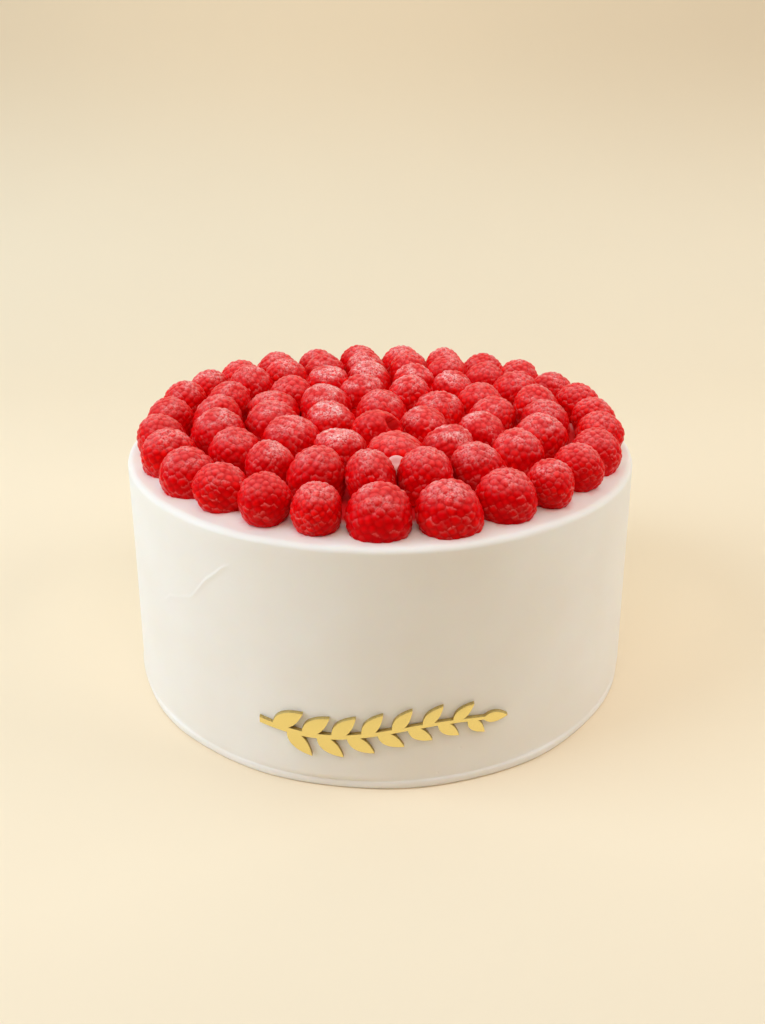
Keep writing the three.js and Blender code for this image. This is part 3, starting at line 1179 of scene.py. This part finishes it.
    def build(self, icing: bpy.types.Material) -> None:
        """Build every berry and the mound under the heap.

        Args:
            icing: The icing, a dab of which is squeezed up between the berries.
        """
        materials = (self.skin.skin(), self.skin.hairs())
        kinds = {
            tall: [spec.grow(seed + self.seed_step * i, Build.UPRIGHT) for i in range(self.kinds)]
            for tall, spec, seed in (
                (False, self.pressed, self.pressed_seed),
                (True, self.tall, self.tall_seed),
            )
        }
        floor = self.cake_height - self.foot_depth
        rings = (
            ("raspberry_outer", self.outer, self.outer_bloom, self.fit),
            ("raspberry_middle", self.middle, self.middle_bloom, self.close_fit),
        )
        for name, ring, bloom_and_glints, fit in rings:
            for i, place in enumerate(self.places(ring)):
                kind = kinds[ring.tall][int(draw(i, ring.seed + Chance.KIND) * self.kinds)]
                spin = 2.0 * math.pi * draw(i, ring.seed + Chance.SPIN)
                amount = bloom_and_glints * lerp(*self.bloom_spread, draw(i, ring.seed + Chance.BLOOM))
                piece = self.stand(kind, place, spin, floor, amount, fit)
                node = f"{name}_{i + 1:02d}"
                settle(piece, f"{node}_berry", materials, [node])
        self.build_heap(kinds[True], materials, floor)
        heap = ["raspberry_heap"]
        settle(self.bed(), "raspberry_heap_bed", materials[:1], heap)
        settle(self.cream(), "raspberry_heap_cream", [icing], heap)
        for kind in kinds[False] + kinds[True]:
            remove_piece(kind)

    def build_heap(
        self,
        kinds: list[bpy.types.Object],
        materials: tuple[bpy.types.Material, bpy.types.Material],
        floor: float,
    ) -> None:
        """Build the inner berries as one piece, one of them tipped over with its hollow showing.

        Args:
            kinds: The grown berries to copy.
            materials: The skin and the hairs.
            floor: Height below which the berries are cut away.
        """
        placed = []
        open_seeds = [self.open_seed + self.seed_step * i for i in range(self.open_kinds)]
        open_kinds = [self.loose.grow(seed, Build.OPEN) for seed in open_seeds]
        floor += self.heap_lift
        for ring in (self.core, self.inner, self.centre):
            for i, place in enumerate(self.places(ring)):
                if ring is self.core and i == 0:
                    continue
                choice = draw(i, ring.seed + Chance.KIND)
                kind = kinds[int(choice * self.kinds)]
                if draw(i, ring.seed + Chance.LIES) < self.lying_share:
                    kind = open_kinds[int(choice * self.open_kinds)]
                    lean = lerp(*self.lying_lean, draw(i, ring.seed + Chance.LEAN))
                    place = replace(place, lean=math.radians(lean))
                spin = 2.0 * math.pi * draw(i, ring.seed + Chance.SPIN)
                amount = lerp(*self.heap_bloom, draw(i, ring.seed + Chance.BLOOM))
                placed.append(self.stand(kind, place, spin, floor, amount, self.close_fit))
        tipped = replace(
            self.places(self.core)[0],
            lean=math.radians(self.tipped_lean),
            lean_toward=math.radians(self.tipped_toward),
        )
        placed.append(
            self.stand(open_kinds[0], tipped, 0.0, floor, self.tipped_bloom, self.fit)
        )
        for kind in open_kinds:
            remove_piece(kind)
        heap = join_pieces(placed)
        settle(heap, "raspberry_heap_berries", materials, ["raspberry_heap"])


# --- Iced cake ----------------------------------------------------------------------------------


@dataclass(frozen=True)
class Buttercream:
    """White buttercream smoothed with a scraper: soft, almost matt and faintly streaked."""

    cream: str = "#f8f2e9"
    shade: str = "#f2e9db"
    stain: str = "#f0a49c"
    soak_and_red_glow: str = "#ee1a20"
    # Red where the berries shut the icing in: partly juice soaked in, partly a painted red glow in
    # their shade.
    roughness: float = 0.5
    index_of_refraction: float = 1.45
    scatter: float = 0.25
    scatter_reach: tuple[float, float, float] = (1.0, 0.7, 0.45)
    scatter_mm: float = 2.0
    streak_mm: float = 1.3
    patch_mm: float = 26.0
    pore_spacing_mm: float = 7.0
    streak_depth_mm: float = 0.06
    pore_depth_mm: float = 0.2

    def material(self) -> bpy.types.Material:
        """Make the icing's material.

        Returns:
            A matt cream. Long flat streaks and small pores lie in its relief, the attribute stain
            tints it pink beside the berries, and a second attribute turns it red where they shut it
            in, partly as juice soaked in and partly as a painted red glow of their shade.
        """
        material, tree, place = start_material("buttercream_scraper_smoothed")
        stain, soak_and_red_glow = stored(tree, "stain", "soak_and_red_glow")
        size = {"Vector": place, "Scale": 1.0 / (self.patch_mm * MM), "Detail": 2.0}
        patches = add_node(tree, "TexNoise", size)
        # The scraper drags its marks round the cake: they are ten times as long as they are high.
        flat = add_node(tree, "Mapping", {"Vector": place, "Scale": (0.1, 0.1, 1.0)})
        size = {"Vector": flat, "Scale": 1.0 / (self.streak_mm * MM), "Detail": 3.0}
        streaks = {
            "Strength": 0.5,
            "Distance": self.streak_depth_mm * MM,
            "Height": add_node(tree, "TexNoise", size),
        }
        size = {"Vector": place, "Scale": 1.0 / (self.pore_spacing_mm * MM)}
        limits = {"Value": add_node(tree, "TexVoronoi", size), "From Min": 0.02, "From Max": 0.1}
        pores = {
            "Strength": 0.3,
            "Distance": self.pore_depth_mm * MM,
            "Height": add_node(tree, "MapRange", limits, interpolation_type="SMOOTHSTEP"),
            "Normal": add_node(tree, "Bump", streaks),
        }
        layers = ((patches, self.shade), (stain, self.stain), (soak_and_red_glow, self.soak_and_red_glow))
        inputs = {
            "Base Color": lay_colours(tree, self.cream, *layers),
            "Roughness": self.roughness,
            "IOR": self.index_of_refraction,
            "Subsurface Weight": self.scatter,
            "Subsurface Radius": self.scatter_reach,
            "Subsurface Scale": self.scatter_mm * MM,
            "Normal": add_node(tree, "Bump", pores),
        }
        show_surface(tree, inputs)
        return material


@dataclass(frozen=True)
class Wave:
    """One slow wave round the cake: its share of the whole, its number, its slant and its start."""

    share: float
    number: float
    start: float
    slant: float = 0.0

    def at(self, angle: np.ndarray, z: np.ndarray | float = 0.0) -> np.ndarray:
        """Give the wave's height at angles and heights round the cake."""
        return self.share * np.sin(self.number * angle + self.slant * z + self.start)


@dataclass
class IcedCake:
    """The tier with its icing, modelled as one closed shell round its profile."""

    icing: Buttercream = field(default_factory=Buttercream)
    height: float = 90.0
    foot_radius: float = 102.0
    top_radius: float = 97.6
    edge_round: float = 2.5
    flat_top_radius: float = 90.0
    band_height: float = 3.4
    band_step: float = 0.9
    foot_round: float = 1.1
    band_fade: tuple[float, float] = (-0.3, 0.6)
    foot_unevenness: float = 0.45
    foot_waves: tuple[Wave, ...] = (Wave(0.6, 5.0, 0.4), Wave(0.4, 13.0, 1.9))
    torn_depth: float = 0.16
    torn_heights: tuple[float, float] = (0.8, 2.4)
    side_wave: float = 0.3
    side_waves: tuple[Wave, ...] = (Wave(0.6, 3.0, 1.1, 0.03), Wave(0.4, 7.0, 2.3, -0.05))
    lip_dip: float = 0.7
    lip_waves: tuple[Wave, ...] = (Wave(0.3, 4.0, 2.0), Wave(0.15, 9.0, 0.6))
    lip_tremor: float = 0.2
    lip_width: tuple[float, float] = (-4.0, 3.0)
    inset: float = 0.1
    corners: int = 360
    side_row_step: float = 1.7
    top_ring_step: float = 1.2
    last_ring_radius: float = 30.0
    crease_start: float = -143.0
    crease_end: float = -117.5
    crease_kinks: tuple[tuple[float, float], ...] = (
        (0.0, 48.5),
        (0.22, 56.0),
        (0.5, 60.2),
        (0.7, 70.2),
        (0.84, 75.4),
        (1.0, 80.0),
    )
    crease_wander: float = 0.14
    crease_half_width: float = 0.5
    crease_height: float = 0.26
    crease_spread: float = 3.0
    crease_ends: tuple[float, float] = (0.35, 0.8)
    crease_refined: float = 3.2
    berry_foot_share: float = 0.43
    stain_strength: float = 0.8
    stain_limits: tuple[float, float] = (1.1, -0.4)
    soak_and_red_glow_limits: tuple[float, float] = (83.0, 77.0)
    swell_height: float = 0.25
    swell_reach: float = 1.6

    def side_radius(self, z: np.ndarray | float) -> np.ndarray | float:
        """Give the even radius of the side at a height."""
        share = (z - self.band_height) / (self.height - self.edge_round - self.band_height)
        low = self.foot_radius - self.band_step
        return low + (self.top_radius - low) * np.clip(share, 0.0, 1.0)

    def side_bulge(self, angle: np.ndarray, z: np.ndarray) -> np.ndarray:
        """Give how far the side stands out where the scraper left a slow wave."""
        return self.side_wave * sum(wave.at(angle, z) for wave in self.side_waves)

    def foot_bulge(self, angle: np.ndarray, z: np.ndarray) -> np.ndarray:
        """Give how far the band at the foot stands out, less where the icing is torn."""
        uneven = sum(wave.at(angle) for wave in self.foot_waves) - 1.0
        torn = np.sin(61.0 * angle + 4.0 * np.sin(7.0 * angle)) * np.sin(23.0 * angle)
        torn = self.torn_depth * np.minimum(0.0, torn)
        return self.foot_unevenness * uneven + torn * smooth_step(z, *self.torn_heights)

    def lip_fall(self, angle: np.ndarray) -> np.ndarray:
        """Give how far the top edge dips below the flat top."""
        slow = sum(wave.at(angle) for wave in self.lip_waves)
        quick = np.sin(29.0 * angle + 3.0 * np.sin(5.0 * angle)) * np.sin(11.0 * angle + 0.9)
        return self.lip_dip * (0.6 + slow + self.lip_tremor * quick)

    def profile(self) -> list[tuple[float, float]]:
        """Give the half outline above the underside's rim.

        Returns:
            Radius and height of each ring, from the foot over the edge to the inner top.
        """
        rings: list[tuple[float, float]] = []
        quarter = math.pi / 2.0
        for step in range(1, 5):
            turn = quarter * step / 4.0
            radius = self.foot_radius - self.foot_round * (1.0 - math.sin(turn))
            rings.append((radius, self.foot_round * (1.0 - math.cos(turn))))
        low = self.band_height - self.foot_round / 2.0
        for step in range(5):
            share = step / 4.0
            radius = self.foot_radius - self.band_step * float(smooth_step(share, 0.0, 1.0))
            rings.append((radius, low + self.foot_round * share))
        edge_start = self.height - self.edge_round
        first = self.band_height + self.foot_round / 2.0
        rows = round((edge_start - first) / self.side_row_step)
        for row in range(1, rows):
            z = lerp(first, edge_start, row / rows)
            rings.append((float(self.side_radius(z)), z))
        flat = self.top_radius - self.edge_round
        for step in range(11):
            turn = quarter * step / 10.0
            radius = flat + self.edge_round * math.cos(turn)
            rings.append((radius, edge_start + self.edge_round * math.sin(turn)))
        count = round((flat - self.last_ring_radius) / self.top_ring_step)
        for step in range(1, count + 1):
            rings.append((lerp(flat, self.last_ring_radius, step / count), self.height))
        return rings

    def turn_shell(self) -> bpy.types.Object:
        """Draw the profile round: a disc is the underside, and each ring is extruded from the last.

        Returns:
            The closed shell.
        """
        radius = self.foot_radius - self.foot_round
        shell = primitive(
            bpy.ops.mesh.primitive_circle_add,
            vertices=self.corners,
            radius=radius,
            fill_type="NGON",
        )
        edit(shell)
        height = 0.0
        for next_radius, next_height in self.profile():
            bpy.ops.mesh.extrude_region_move(
                TRANSFORM_OT_translate={"value": (0.0, 0.0, next_height - height)}
            )
            factor = next_radius / radius
            bpy.ops.transform.resize(value=(factor, factor, 1.0), center_override=(0.0, 0.0, 0.0))
            radius, height = next_radius, next_height
        bpy.ops.mesh.poke()
        close_edit()
        make_outward(shell)
        return shell

    def along_crease(self, angle: np.ndarray | float) -> np.ndarray | float:
        """Give how far along the crease an angle round the cake lies, from 0 to 1."""
        return (np.degrees(angle) - self.crease_start) / (self.crease_end - self.crease_start)

    def crease_line(self, share: np.ndarray | float) -> np.ndarray | float:
        """Give the crease's height at a share of its length: a fold that runs from kink to kink."""
        shares, heights = zip(*self.crease_kinks)
        return np.interp(share, shares, heights) + self.crease_wander * np.sin(31.0 * share)

    def crease_fold(self, angle: np.ndarray, z: np.ndarray) -> np.ndarray:
        """Give how far the crease stands out: steep above its line, and gentle below.

        Args:
            angle: Where round the cake.
            z: How high.

        Returns:
            The fold's height, which fades at both ends.
        """
        share = self.along_crease(angle)
        off = (z - self.crease_line(share)) / self.crease_half_width
        fold = np.exp(-(np.where(off < 0.0, off / self.crease_spread, off) ** 2))
        start, end = self.crease_ends
        ends = smooth_step(share, 0.0, start) * smooth_step(share, 1.0, end)
        return self.crease_height * ends * fold * (0.65 + 0.35 * np.sin(9.0 * share + 1.0))

    def refine_crease(self, shell: bpy.types.Object) -> None:
        """Subdivide the faces along the crease, so that it can be drawn fine."""

        def beside(face: bpy.types.MeshPolygon) -> bool:
            """Tell whether a face lies beside the crease."""
            x, y, z = face.center
            share = self.along_crease(math.atan2(y, x))
            near = abs(z - self.crease_line(share)) < self.crease_refined
            return bool(-0.05 < share < 1.05 and near and math.hypot(x, y) > self.flat_top_radius)

        edit_chosen(shell, shell.data.polygons, beside)
        bpy.ops.mesh.subdivide(number_cuts=4)
        close_edit()

    def press_relief(self, shell: bpy.types.Object) -> None:
        """Move the shell's vertices to the unevenness of hand-smoothed icing."""
        points = points_of(shell)
        x, y, z = points.T.copy()
        radius, angle = np.hypot(x, y), np.arctan2(y, x)
        edge_start = self.height - self.edge_round
        on_band = 1.0 - smooth_step(z, *(self.band_height + fade for fade in self.band_fade))
        bulge = self.side_bulge(angle, z) * (1.0 - on_band) + self.foot_bulge(angle, z) * on_band
        bulge += self.crease_fold(angle, z) - self.inset * (1.0 + on_band)
        bulge = np.where(radius > self.flat_top_radius, bulge, 0.0)
        faded = bulge * smooth_step(radius, self.flat_top_radius, self.top_radius)
        scale = 1.0 + np.where(z < edge_start, bulge, faded) / np.maximum(radius, 1e-6)
        points[:, 0] *= scale
        points[:, 1] *= scale
        dip = self.lip_fall(angle) * np.maximum(0.0, z - edge_start) / self.edge_round
        inner, outer = (self.flat_top_radius + width for width in self.lip_width)
        points[:, 2] -= dip * smooth_step(radius, inner, outer)
        move_points(shell, points)

    def press_berries(self, shell: bpy.types.Object, places: list[BerryPlace]) -> None:
        """Let the icing rise a little round each berry, take its juice, and turn red where the
        berries shut it in, partly as a painted red glow.

        Args:
            shell: The icing.
            places: Where the berries stand.
        """
        points = points_of(shell)
        x, y, z = points.T.copy()
        gap = np.full(len(points), np.inf)
        for place in places:
            away = np.hypot(x - place.x, y - place.y) - self.berry_foot_share * place.width
            gap = np.minimum(gap, away)
        on_top = smooth_step(z, self.height - 2.0, self.height - 0.9)
        wobble = 0.6 + 0.4 * np.sin(x * 0.9 + 1.7) * np.sin(y * 0.8 + 0.3)
        stain = on_top * wobble * smooth_step(gap, *self.stain_limits)
        write_weight(shell, "stain", self.stain_strength * stain)
        # Partly juice soaked in, partly a painted red glow: the top turns red inside the outer
        # ring, in the berries' shade.
        write_weight(shell, "soak_and_red_glow", on_top * smooth_step(np.hypot(x, y), *self.soak_and_red_glow_limits))
        points[:, 2] += self.swell_height * on_top * smooth_step(gap, self.swell_reach, 0.0)
        move_points(shell, points)

    def build(self, places: list[BerryPlace]) -> bpy.types.Material:
        """Build the iced cake.

        Args:
            places: Where the berries stand on it.

        Returns:
            The icing's material.
        """
        shell = self.turn_shell()
        self.refine_crease(shell)
        self.press_relief(shell)
        self.press_berries(shell, places)
        material = self.icing.material()
        settle(shell, "iced_cake_icing", [material], ["iced_cake"])
        return material


# --- Gold leaf sprig ----------------------------------------------------------------------------


@dataclass(frozen=True)
class MirrorCard:
    """Gold mirror card: a thin metallised film on board, cut by laser; its edges are darker and
    browner, partly their own colour and partly painted contact shadow.
    """

    film: str = "#f2dc8e"
    # Partly the edge's own colour, partly painted contact shadow.
    edge: str = "#86611f"
    film_roughness: float = 0.22
    edge_roughness: float = 0.45
    brush_mm: float = 0.4
    peel_mm: float = 3.0
    peel_depth_mm: float = 0.1

    def film_material(self) -> bpy.types.Material:
        """Make the face: a nearly smooth gold mirror with a faint orange peel."""
        material, tree, place = start_material("gold_mirror_card_metallised")
        size = {"Vector": place, "Scale": 1.0 / (self.peel_mm * MM), "Detail": 1.0}
        peel = {
            "Strength": 0.4,
            "Distance": self.peel_depth_mm * MM,
            "Height": add_node(tree, "TexNoise", size),
        }
        inputs = {
            "Base Color": linear(self.film),
            "Metallic": 1.0,
            "Roughness": self.film_roughness,
            "Normal": add_node(tree, "Bump", peel),
        }
        show_surface(tree, inputs)
        return material

    def edge_and_shadow_material(self) -> bpy.types.Material:
        """Make the cut edge: darker and browner, partly its own colour and partly painted contact
        shadow, with fine marks.
        """
        material, tree, place = start_material("gold_mirror_card_cut_edge_and_shadow")
        size = {"Vector": place, "Scale": 1.0 / (self.brush_mm * MM), "Detail": 2.0}
        marks = add_node(tree, "TexNoise", size)
        colour = lay_colours(tree, self.edge, (marks, self.film))
        inputs = {"Base Color": colour, "Metallic": 0.8, "Roughness": self.edge_roughness}
        show_surface(tree, inputs)
        return material


@dataclass
class GoldLeafSprig:
    """A sprig of pointed leaves on a waving stem, cut from one sheet and bent to the side."""

    cake: IcedCake
    card: MirrorCard = field(default_factory=MirrorCard)
    length: float = 86.0
    centre_height: float = 24.0
    thickness: float = 1.12
    sink: float = 0.35
    wave: float = 2.4
    stem_width: float = 2.0
    stem_tip_share: float = 0.5
    stem_share: float = 0.94
    leaf_pairs: int = 7
    leaf_length: float = 12.4
    leaf_width: float = 5.4
    leaf_angle: float = 40.0
    leaf_shrink: float = 0.3
    leaf_margin: float = 7.0
    edge_round: float = 0.12
    cut_step: float = 1.3
    leaf_corners: int = 36
    leaf_curve: tuple[tuple[float, float], ...] = ((0.3, 0.85), (0.7, 0.45))
    stem_cuts: int = 47
    wall_slope: float = 0.5

    def stem_line(self, along: float) -> float:
        """Give the height of the stem's middle line."""
        return self.wave * math.sin(2.0 * math.pi * along / self.length)

    def stem_slope(self, along: float) -> float:
        """Give the stem's slope as an angle."""
        step = 0.5
        return math.atan2(self.stem_line(along + step) - self.stem_line(along - step), 2.0 * step)

    def thicken(self, flat: bpy.types.Object) -> bpy.types.Object:
        """Give a flat cut-out the sheet's thickness."""
        edit(flat)
        bpy.ops.mesh.extrude_region_move(
            TRANSFORM_OT_translate={"value": (0.0, 0.0, self.thickness + self.sink)}
        )
        close_edit()
        make_outward(flat)
        return flat

    def leaf(self) -> bpy.types.Object:
        """Model one pointed leaf at full size, from its stalk end at the origin along +X."""
        flat = primitive(
            bpy.ops.mesh.primitive_circle_add,
            vertices=self.leaf_corners,
            radius=1.0,
            fill_type="NGON",
        )
        points = points_of(flat)
        share = 1.0 - np.abs(np.arctan2(points[:, 1], points[:, 0])) / math.pi
        side = np.sign(np.round(points[:, 1], 6))
        (near_x, near_y), (far_x, far_y) = self.leaf_curve
        near, far = 3.0 * share * (1.0 - share) ** 2, 3.0 * share**2 * (1.0 - share)
        points[:, 0] = self.leaf_length * (near_x * near + far_x * far + share**3)
        points[:, 1] = side * self.leaf_width * (near_y * near + far_y * far)
        move_points(flat, points)
        return self.thicken(flat)

    def stem(self) -> bpy.types.Object:
        """Model the stem: a strip that waves and tapers."""
        strip = primitive(bpy.ops.mesh.primitive_plane_add, size=1.0)

        def lengthwise(edge: bpy.types.MeshEdge) -> bool:
            """Tell whether an edge runs along the strip."""
            near, far = (strip.data.vertices[v].co for v in edge.vertices)
            return abs(near.y - far.y) < 1e-6

        edit_chosen(strip, strip.data.edges, lengthwise)
        bpy.ops.mesh.subdivide(number_cuts=self.stem_cuts)
        close_edit()
        points = points_of(strip)
        share = points[:, 0] + 0.5
        along = self.length * points[:, 0] * self.stem_share
        line = self.wave * np.sin(2.0 * math.pi * along / self.length)
        width = self.stem_width * (1.0 + (self.stem_tip_share - 1.0) * share)
        points[:, 0] = along
        points[:, 1] = line + width * points[:, 1]
        move_points(strip, points)
        return self.thicken(strip)

    def leaf_places(self) -> list[Matrix]:
        """Place the leaves in alternate order along the stem, and one at its tip.

        Returns:
            A place for each leaf.
        """
        count = 2 * self.leaf_pairs
        step = (self.length - 3.0 * self.leaf_margin) / (count - 1)
        spots = []
        for i in range(count):
            along = self.leaf_margin - self.length / 2.0 + i * step
            side = 1.0 if i % 2 == 0 else -1.0
            turn = self.stem_slope(along) + side * math.radians(self.leaf_angle)
            spots.append((along, turn, 1.0 - self.leaf_shrink * i / (count - 1)))
        last = self.length / 2.0 - self.leaf_length * (1.0 - self.leaf_shrink)
        spots.append((last, self.stem_slope(last), 1.0 - self.leaf_shrink))
        return [
            Matrix.Translation((along, self.stem_line(along), 0.0))
            @ Matrix.Rotation(turn, 4, UP)
            @ Matrix.Diagonal((size, size, 1.0, 1.0))
            for along, turn, size in spots
        ]

    def bend(self, sheet: bpy.types.Object) -> None:
        """Stand the flat cut-out up against the cake and bend it to the side."""
        points = points_of(sheet)
        x, z = points[:, 0].copy(), self.centre_height + points[:, 1]
        even = self.cake.side_radius(z)
        angle = -math.pi / 2.0 + np.arcsin(np.clip(x / even, -1.0, 1.0))
        reach = even + self.cake.side_bulge(angle, z) + CLEARANCE - self.sink + points[:, 2]
        points[:, 1] = -np.sqrt(reach**2 - x**2)
        points[:, 2] = z
        move_points(sheet, points)

    def build(self) -> None:
        """Build the sprig."""
        leaf = self.leaf()
        sheet = self.stem()
        for place in self.leaf_places():
            cut = copy_piece(leaf, place)
            apply_modifier(sheet, "BOOLEAN", operation="UNION", solver="EXACT", object=cut)
            remove_piece(cut)
        remove_piece(leaf)
        make_outward(sheet, 1e-3)
        apply_modifier(
            sheet,
            "BEVEL",
            width=self.edge_round,
            segments=2,
            limit_method="ANGLE",
            angle_limit=math.radians(50.0),
            use_clamp_overlap=True,
        )
        cuts = int(self.length / self.cut_step)
        for i in range(1, cuts):
            slice_piece(sheet, self.length * (i / cuts - 0.5), Vector((1.0, 0.0, 0.0)), False)
        sheet.data.materials.append(None)
        sheet.data.materials.append(None)
        walls = [abs(polygon.normal.z) < self.wall_slope for polygon in sheet.data.polygons]
        self.bend(sheet)
        materials = (self.card.film_material(), self.card.edge_and_shadow_material())
        nodes = ["gold_leaf_sprig"]
        piece = settle(sheet, "gold_leaf_sprig_card", materials, nodes)
        # The walls take the darker edge material, which is partly painted contact shadow.
        for polygon, wall in zip(piece.data.polygons, walls):
            polygon.material_index = 1 if wall else 0
        select_only(piece)
        bpy.ops.object.shade_smooth_by_angle(angle=math.radians(35.0))


# --- Room ---------------------------------------------------------------------------------------


@dataclass(frozen=True)
class Softbox:
    """One large soft light, aimed at the cake."""

    name: str
    place: tuple[float, float, float]
    size: tuple[float, float]
    watts: float
    colour: str

    def build(self, target: Vector) -> None:
        """Hang the light."""
        light = bpy.data.lights.new(self.name, "AREA")
        light.shape = "RECTANGLE"
        light.size, light.size_y = self.size
        light.energy = self.watts
        light.color = linear(self.colour)[:3]
        lamp = bpy.data.objects.new(self.name, light)
        lamp.location = self.place
        lamp.rotation_euler = (target - Vector(self.place)).to_track_quat("-Z", "Y").to_euler()
        bpy.context.scene.collection.objects.link(lamp)


@dataclass
class Studio:
    """A sweep of plain cream paper under soft studio light, and the camera."""

    paper: str = "#f6e3c4"
    # Painted shade: the darker, yellower paper where the sweep rises.
    shaded_paper_above: str = "#efd6b2"
    paper_roughness: float = 0.9
    side_dimming: float = 0.09
    near_dimming: float = 0.06
    rise_limits: tuple[float, float] = (0.04, 0.3)
    side_limits: tuple[float, float] = (0.0, 0.55)
    near_limits: tuple[float, float] = (-0.02, -0.22)
    dimming_shift: float = 0.1
    mottle_per_metre: float = 6.0
    mottle_limits: tuple[float, float] = (0.99, 1.01)
    air: str = "#fff6e8"
    air_strength: float = 0.02
    half_width: float = 3.0
    front: float = -3.0
    back: float = 0.95
    top: float = 2.4
    curve: float = 0.6
    camera_place: tuple[float, float, float] = (0.0008, -0.3380, 0.2138)
    camera_tilt: float = 65.09
    focal_pixels: float = 900.0
    frame_pixels: float = 1024.0
    sensor: float = 36.0
    clip: tuple[float, float] = (0.01, 20.0)
    aim: tuple[float, float, float] = (0.0, 0.0, 0.06)
    lights: tuple[Softbox, ...] = (
        Softbox("softbox_left", (-1.1, -0.25, 0.75), (0.9, 1.1), 15.3, "#d8ebff"),
        Softbox("softbox_right", (1.15, 0.0, 0.7), (0.8, 1.0), 8.8, "#f2f8ff"),
        Softbox("softbox_top", (0.0, 0.25, 1.25), (1.4, 1.0), 4.6, "#e8faff"),
        Softbox("softbox_front", (0.0, -0.7, 1.25), (1.2, 0.8), 7.45, "#fff4ed"),
    )

    def paper_material(self) -> bpy.types.Material:
        """Make the sweep's matt cream paper with painted shade: darker where it rises, at its sides
        and near by.
        """
        material, tree, place = start_material("backdrop_paper_matt")
        axes = add_node(tree, "SeparateXYZ", {0: place}).outputs
        shifted = add_node(tree, "Math", {0: axes["X"], 1: self.dimming_shift}, operation="ADD")
        aside = add_node(tree, "Math", {0: shifted}, operation="ABSOLUTE")
        # Painted shade: the paper darkens as it rises, towards the sides and near the front.
        rise, side, near = (
            add_node(
                tree,
                "MapRange",
                {"Value": value, "From Min": low, "From Max": high, "To Max": most},
                interpolation_type="SMOOTHSTEP",
            )
            for value, (low, high), most in (
                (axes["Z"], self.rise_limits, 1.0),
                (aside, self.side_limits, self.side_dimming),
                (axes["Y"], self.near_limits, self.near_dimming),
            )
        )
        dimming = add_node(tree, "Math", {0: rise, 1: side, 2: near}, operation="MULTIPLY_ADD")
        size = {"Vector": place, "Scale": self.mottle_per_metre, "Detail": 1.0}
        low, high = self.mottle_limits
        limits = {"Value": add_node(tree, "TexNoise", size), "To Min": low, "To Max": high}
        mottle = add_node(tree, "MapRange", limits)
        inputs = {
            "Color": lay_colours(tree, self.paper, (rise, self.shaded_paper_above)),
            "Value": add_node(tree, "Math", {0: mottle, 1: dimming}, operation="SUBTRACT"),
        }
        inputs = {
            "Base Color": add_node(tree, "HueSaturation", inputs),
            "Roughness": self.paper_roughness,
            "Specular IOR Level": 0.2,
        }
        show_surface(tree, inputs)
        return material

    def build_sweep(self) -> None:
        """Roll out the paper: flat under the cake, then curved up behind it."""
        sweep = primitive(bpy.ops.mesh.primitive_plane_add, size=1.0)
        points = points_of(sweep)
        points[:, 0] *= 2.0 * self.half_width
        points[:, 1] = np.where(points[:, 1] > 0.0, self.back, self.front)
        move_points(sweep, points)

        def behind(edge: bpy.types.MeshEdge) -> bool:
            """Tell whether an edge is the one behind the cake."""
            return all(sweep.data.vertices[v].co.y > 0.0 for v in edge.vertices)

        edit_chosen(sweep, sweep.data.edges, behind)
        bpy.ops.mesh.extrude_region_move(TRANSFORM_OT_translate={"value": (0.0, 0.0, self.top)})
        close_edit()
        apply_modifier(
            sweep, "BEVEL", width=self.curve, segments=24, limit_method="ANGLE", angle_limit=1.0
        )
        sweep.name = "studio_sweep"
        sweep.data.materials.append(self.paper_material())
        select_only(sweep)
        bpy.ops.object.shade_smooth()
        sweep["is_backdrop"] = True

    def build_camera(self) -> None:
        """Set the camera at the photograph's place."""
        data = bpy.data.cameras.new("camera")
        data.sensor_width = self.sensor
        data.lens = self.sensor * self.focal_pixels / self.frame_pixels
        data.clip_start, data.clip_end = self.clip
        camera = bpy.data.objects.new("camera", data)
        camera.location = self.camera_place
        camera.rotation_euler = (math.radians(self.camera_tilt), 0.0, 0.0)
        bpy.context.scene.collection.objects.link(camera)
        bpy.context.scene.camera = camera

    def build(self) -> None:
        """Build the room, its light and the camera."""
        self.build_sweep()
        world = bpy.data.worlds.new("soft_air")
        world.use_nodes = True
        background = world.node_tree.nodes["Background"]
        background.inputs["Color"].default_value = linear(self.air)
        background.inputs["Strength"].default_value = self.air_strength
        bpy.context.scene.world = world
        bpy.context.scene.view_settings.view_transform = "Standard"
        for light in self.lights:
            light.build(Vector(self.aim))
        self.build_camera()


def record_sizes(cad_box: tuple[Vector, Vector]) -> None:
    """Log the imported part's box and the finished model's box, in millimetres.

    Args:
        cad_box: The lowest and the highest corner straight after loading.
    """
    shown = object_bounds()
    boxes = {
        "cad": [list(corner) for corner in cad_box],
        "visual": [list(corner) for corner in shown],
    }
    for name, corners in boxes.items():
        log.info("%s box: %s", name, [[round(1000.0 * v, 2) for v in c] for c in corners])


def main() -> None:
    """Build the whole scene in order."""
    logging.basicConfig(level=logging.INFO, format="%(name)s: %(message)s")
    cad_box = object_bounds()
    cake = IcedCake()
    topping = RaspberryTopping(cake_height=cake.height, ceiling=cad_box[1].z / MM)
    icing = cake.build(topping.standing_places())
    topping.build(icing)
    GoldLeafSprig(cake).build()
    Studio().build()
    record_sizes(cad_box)


if __name__ == "__main__":
    main()
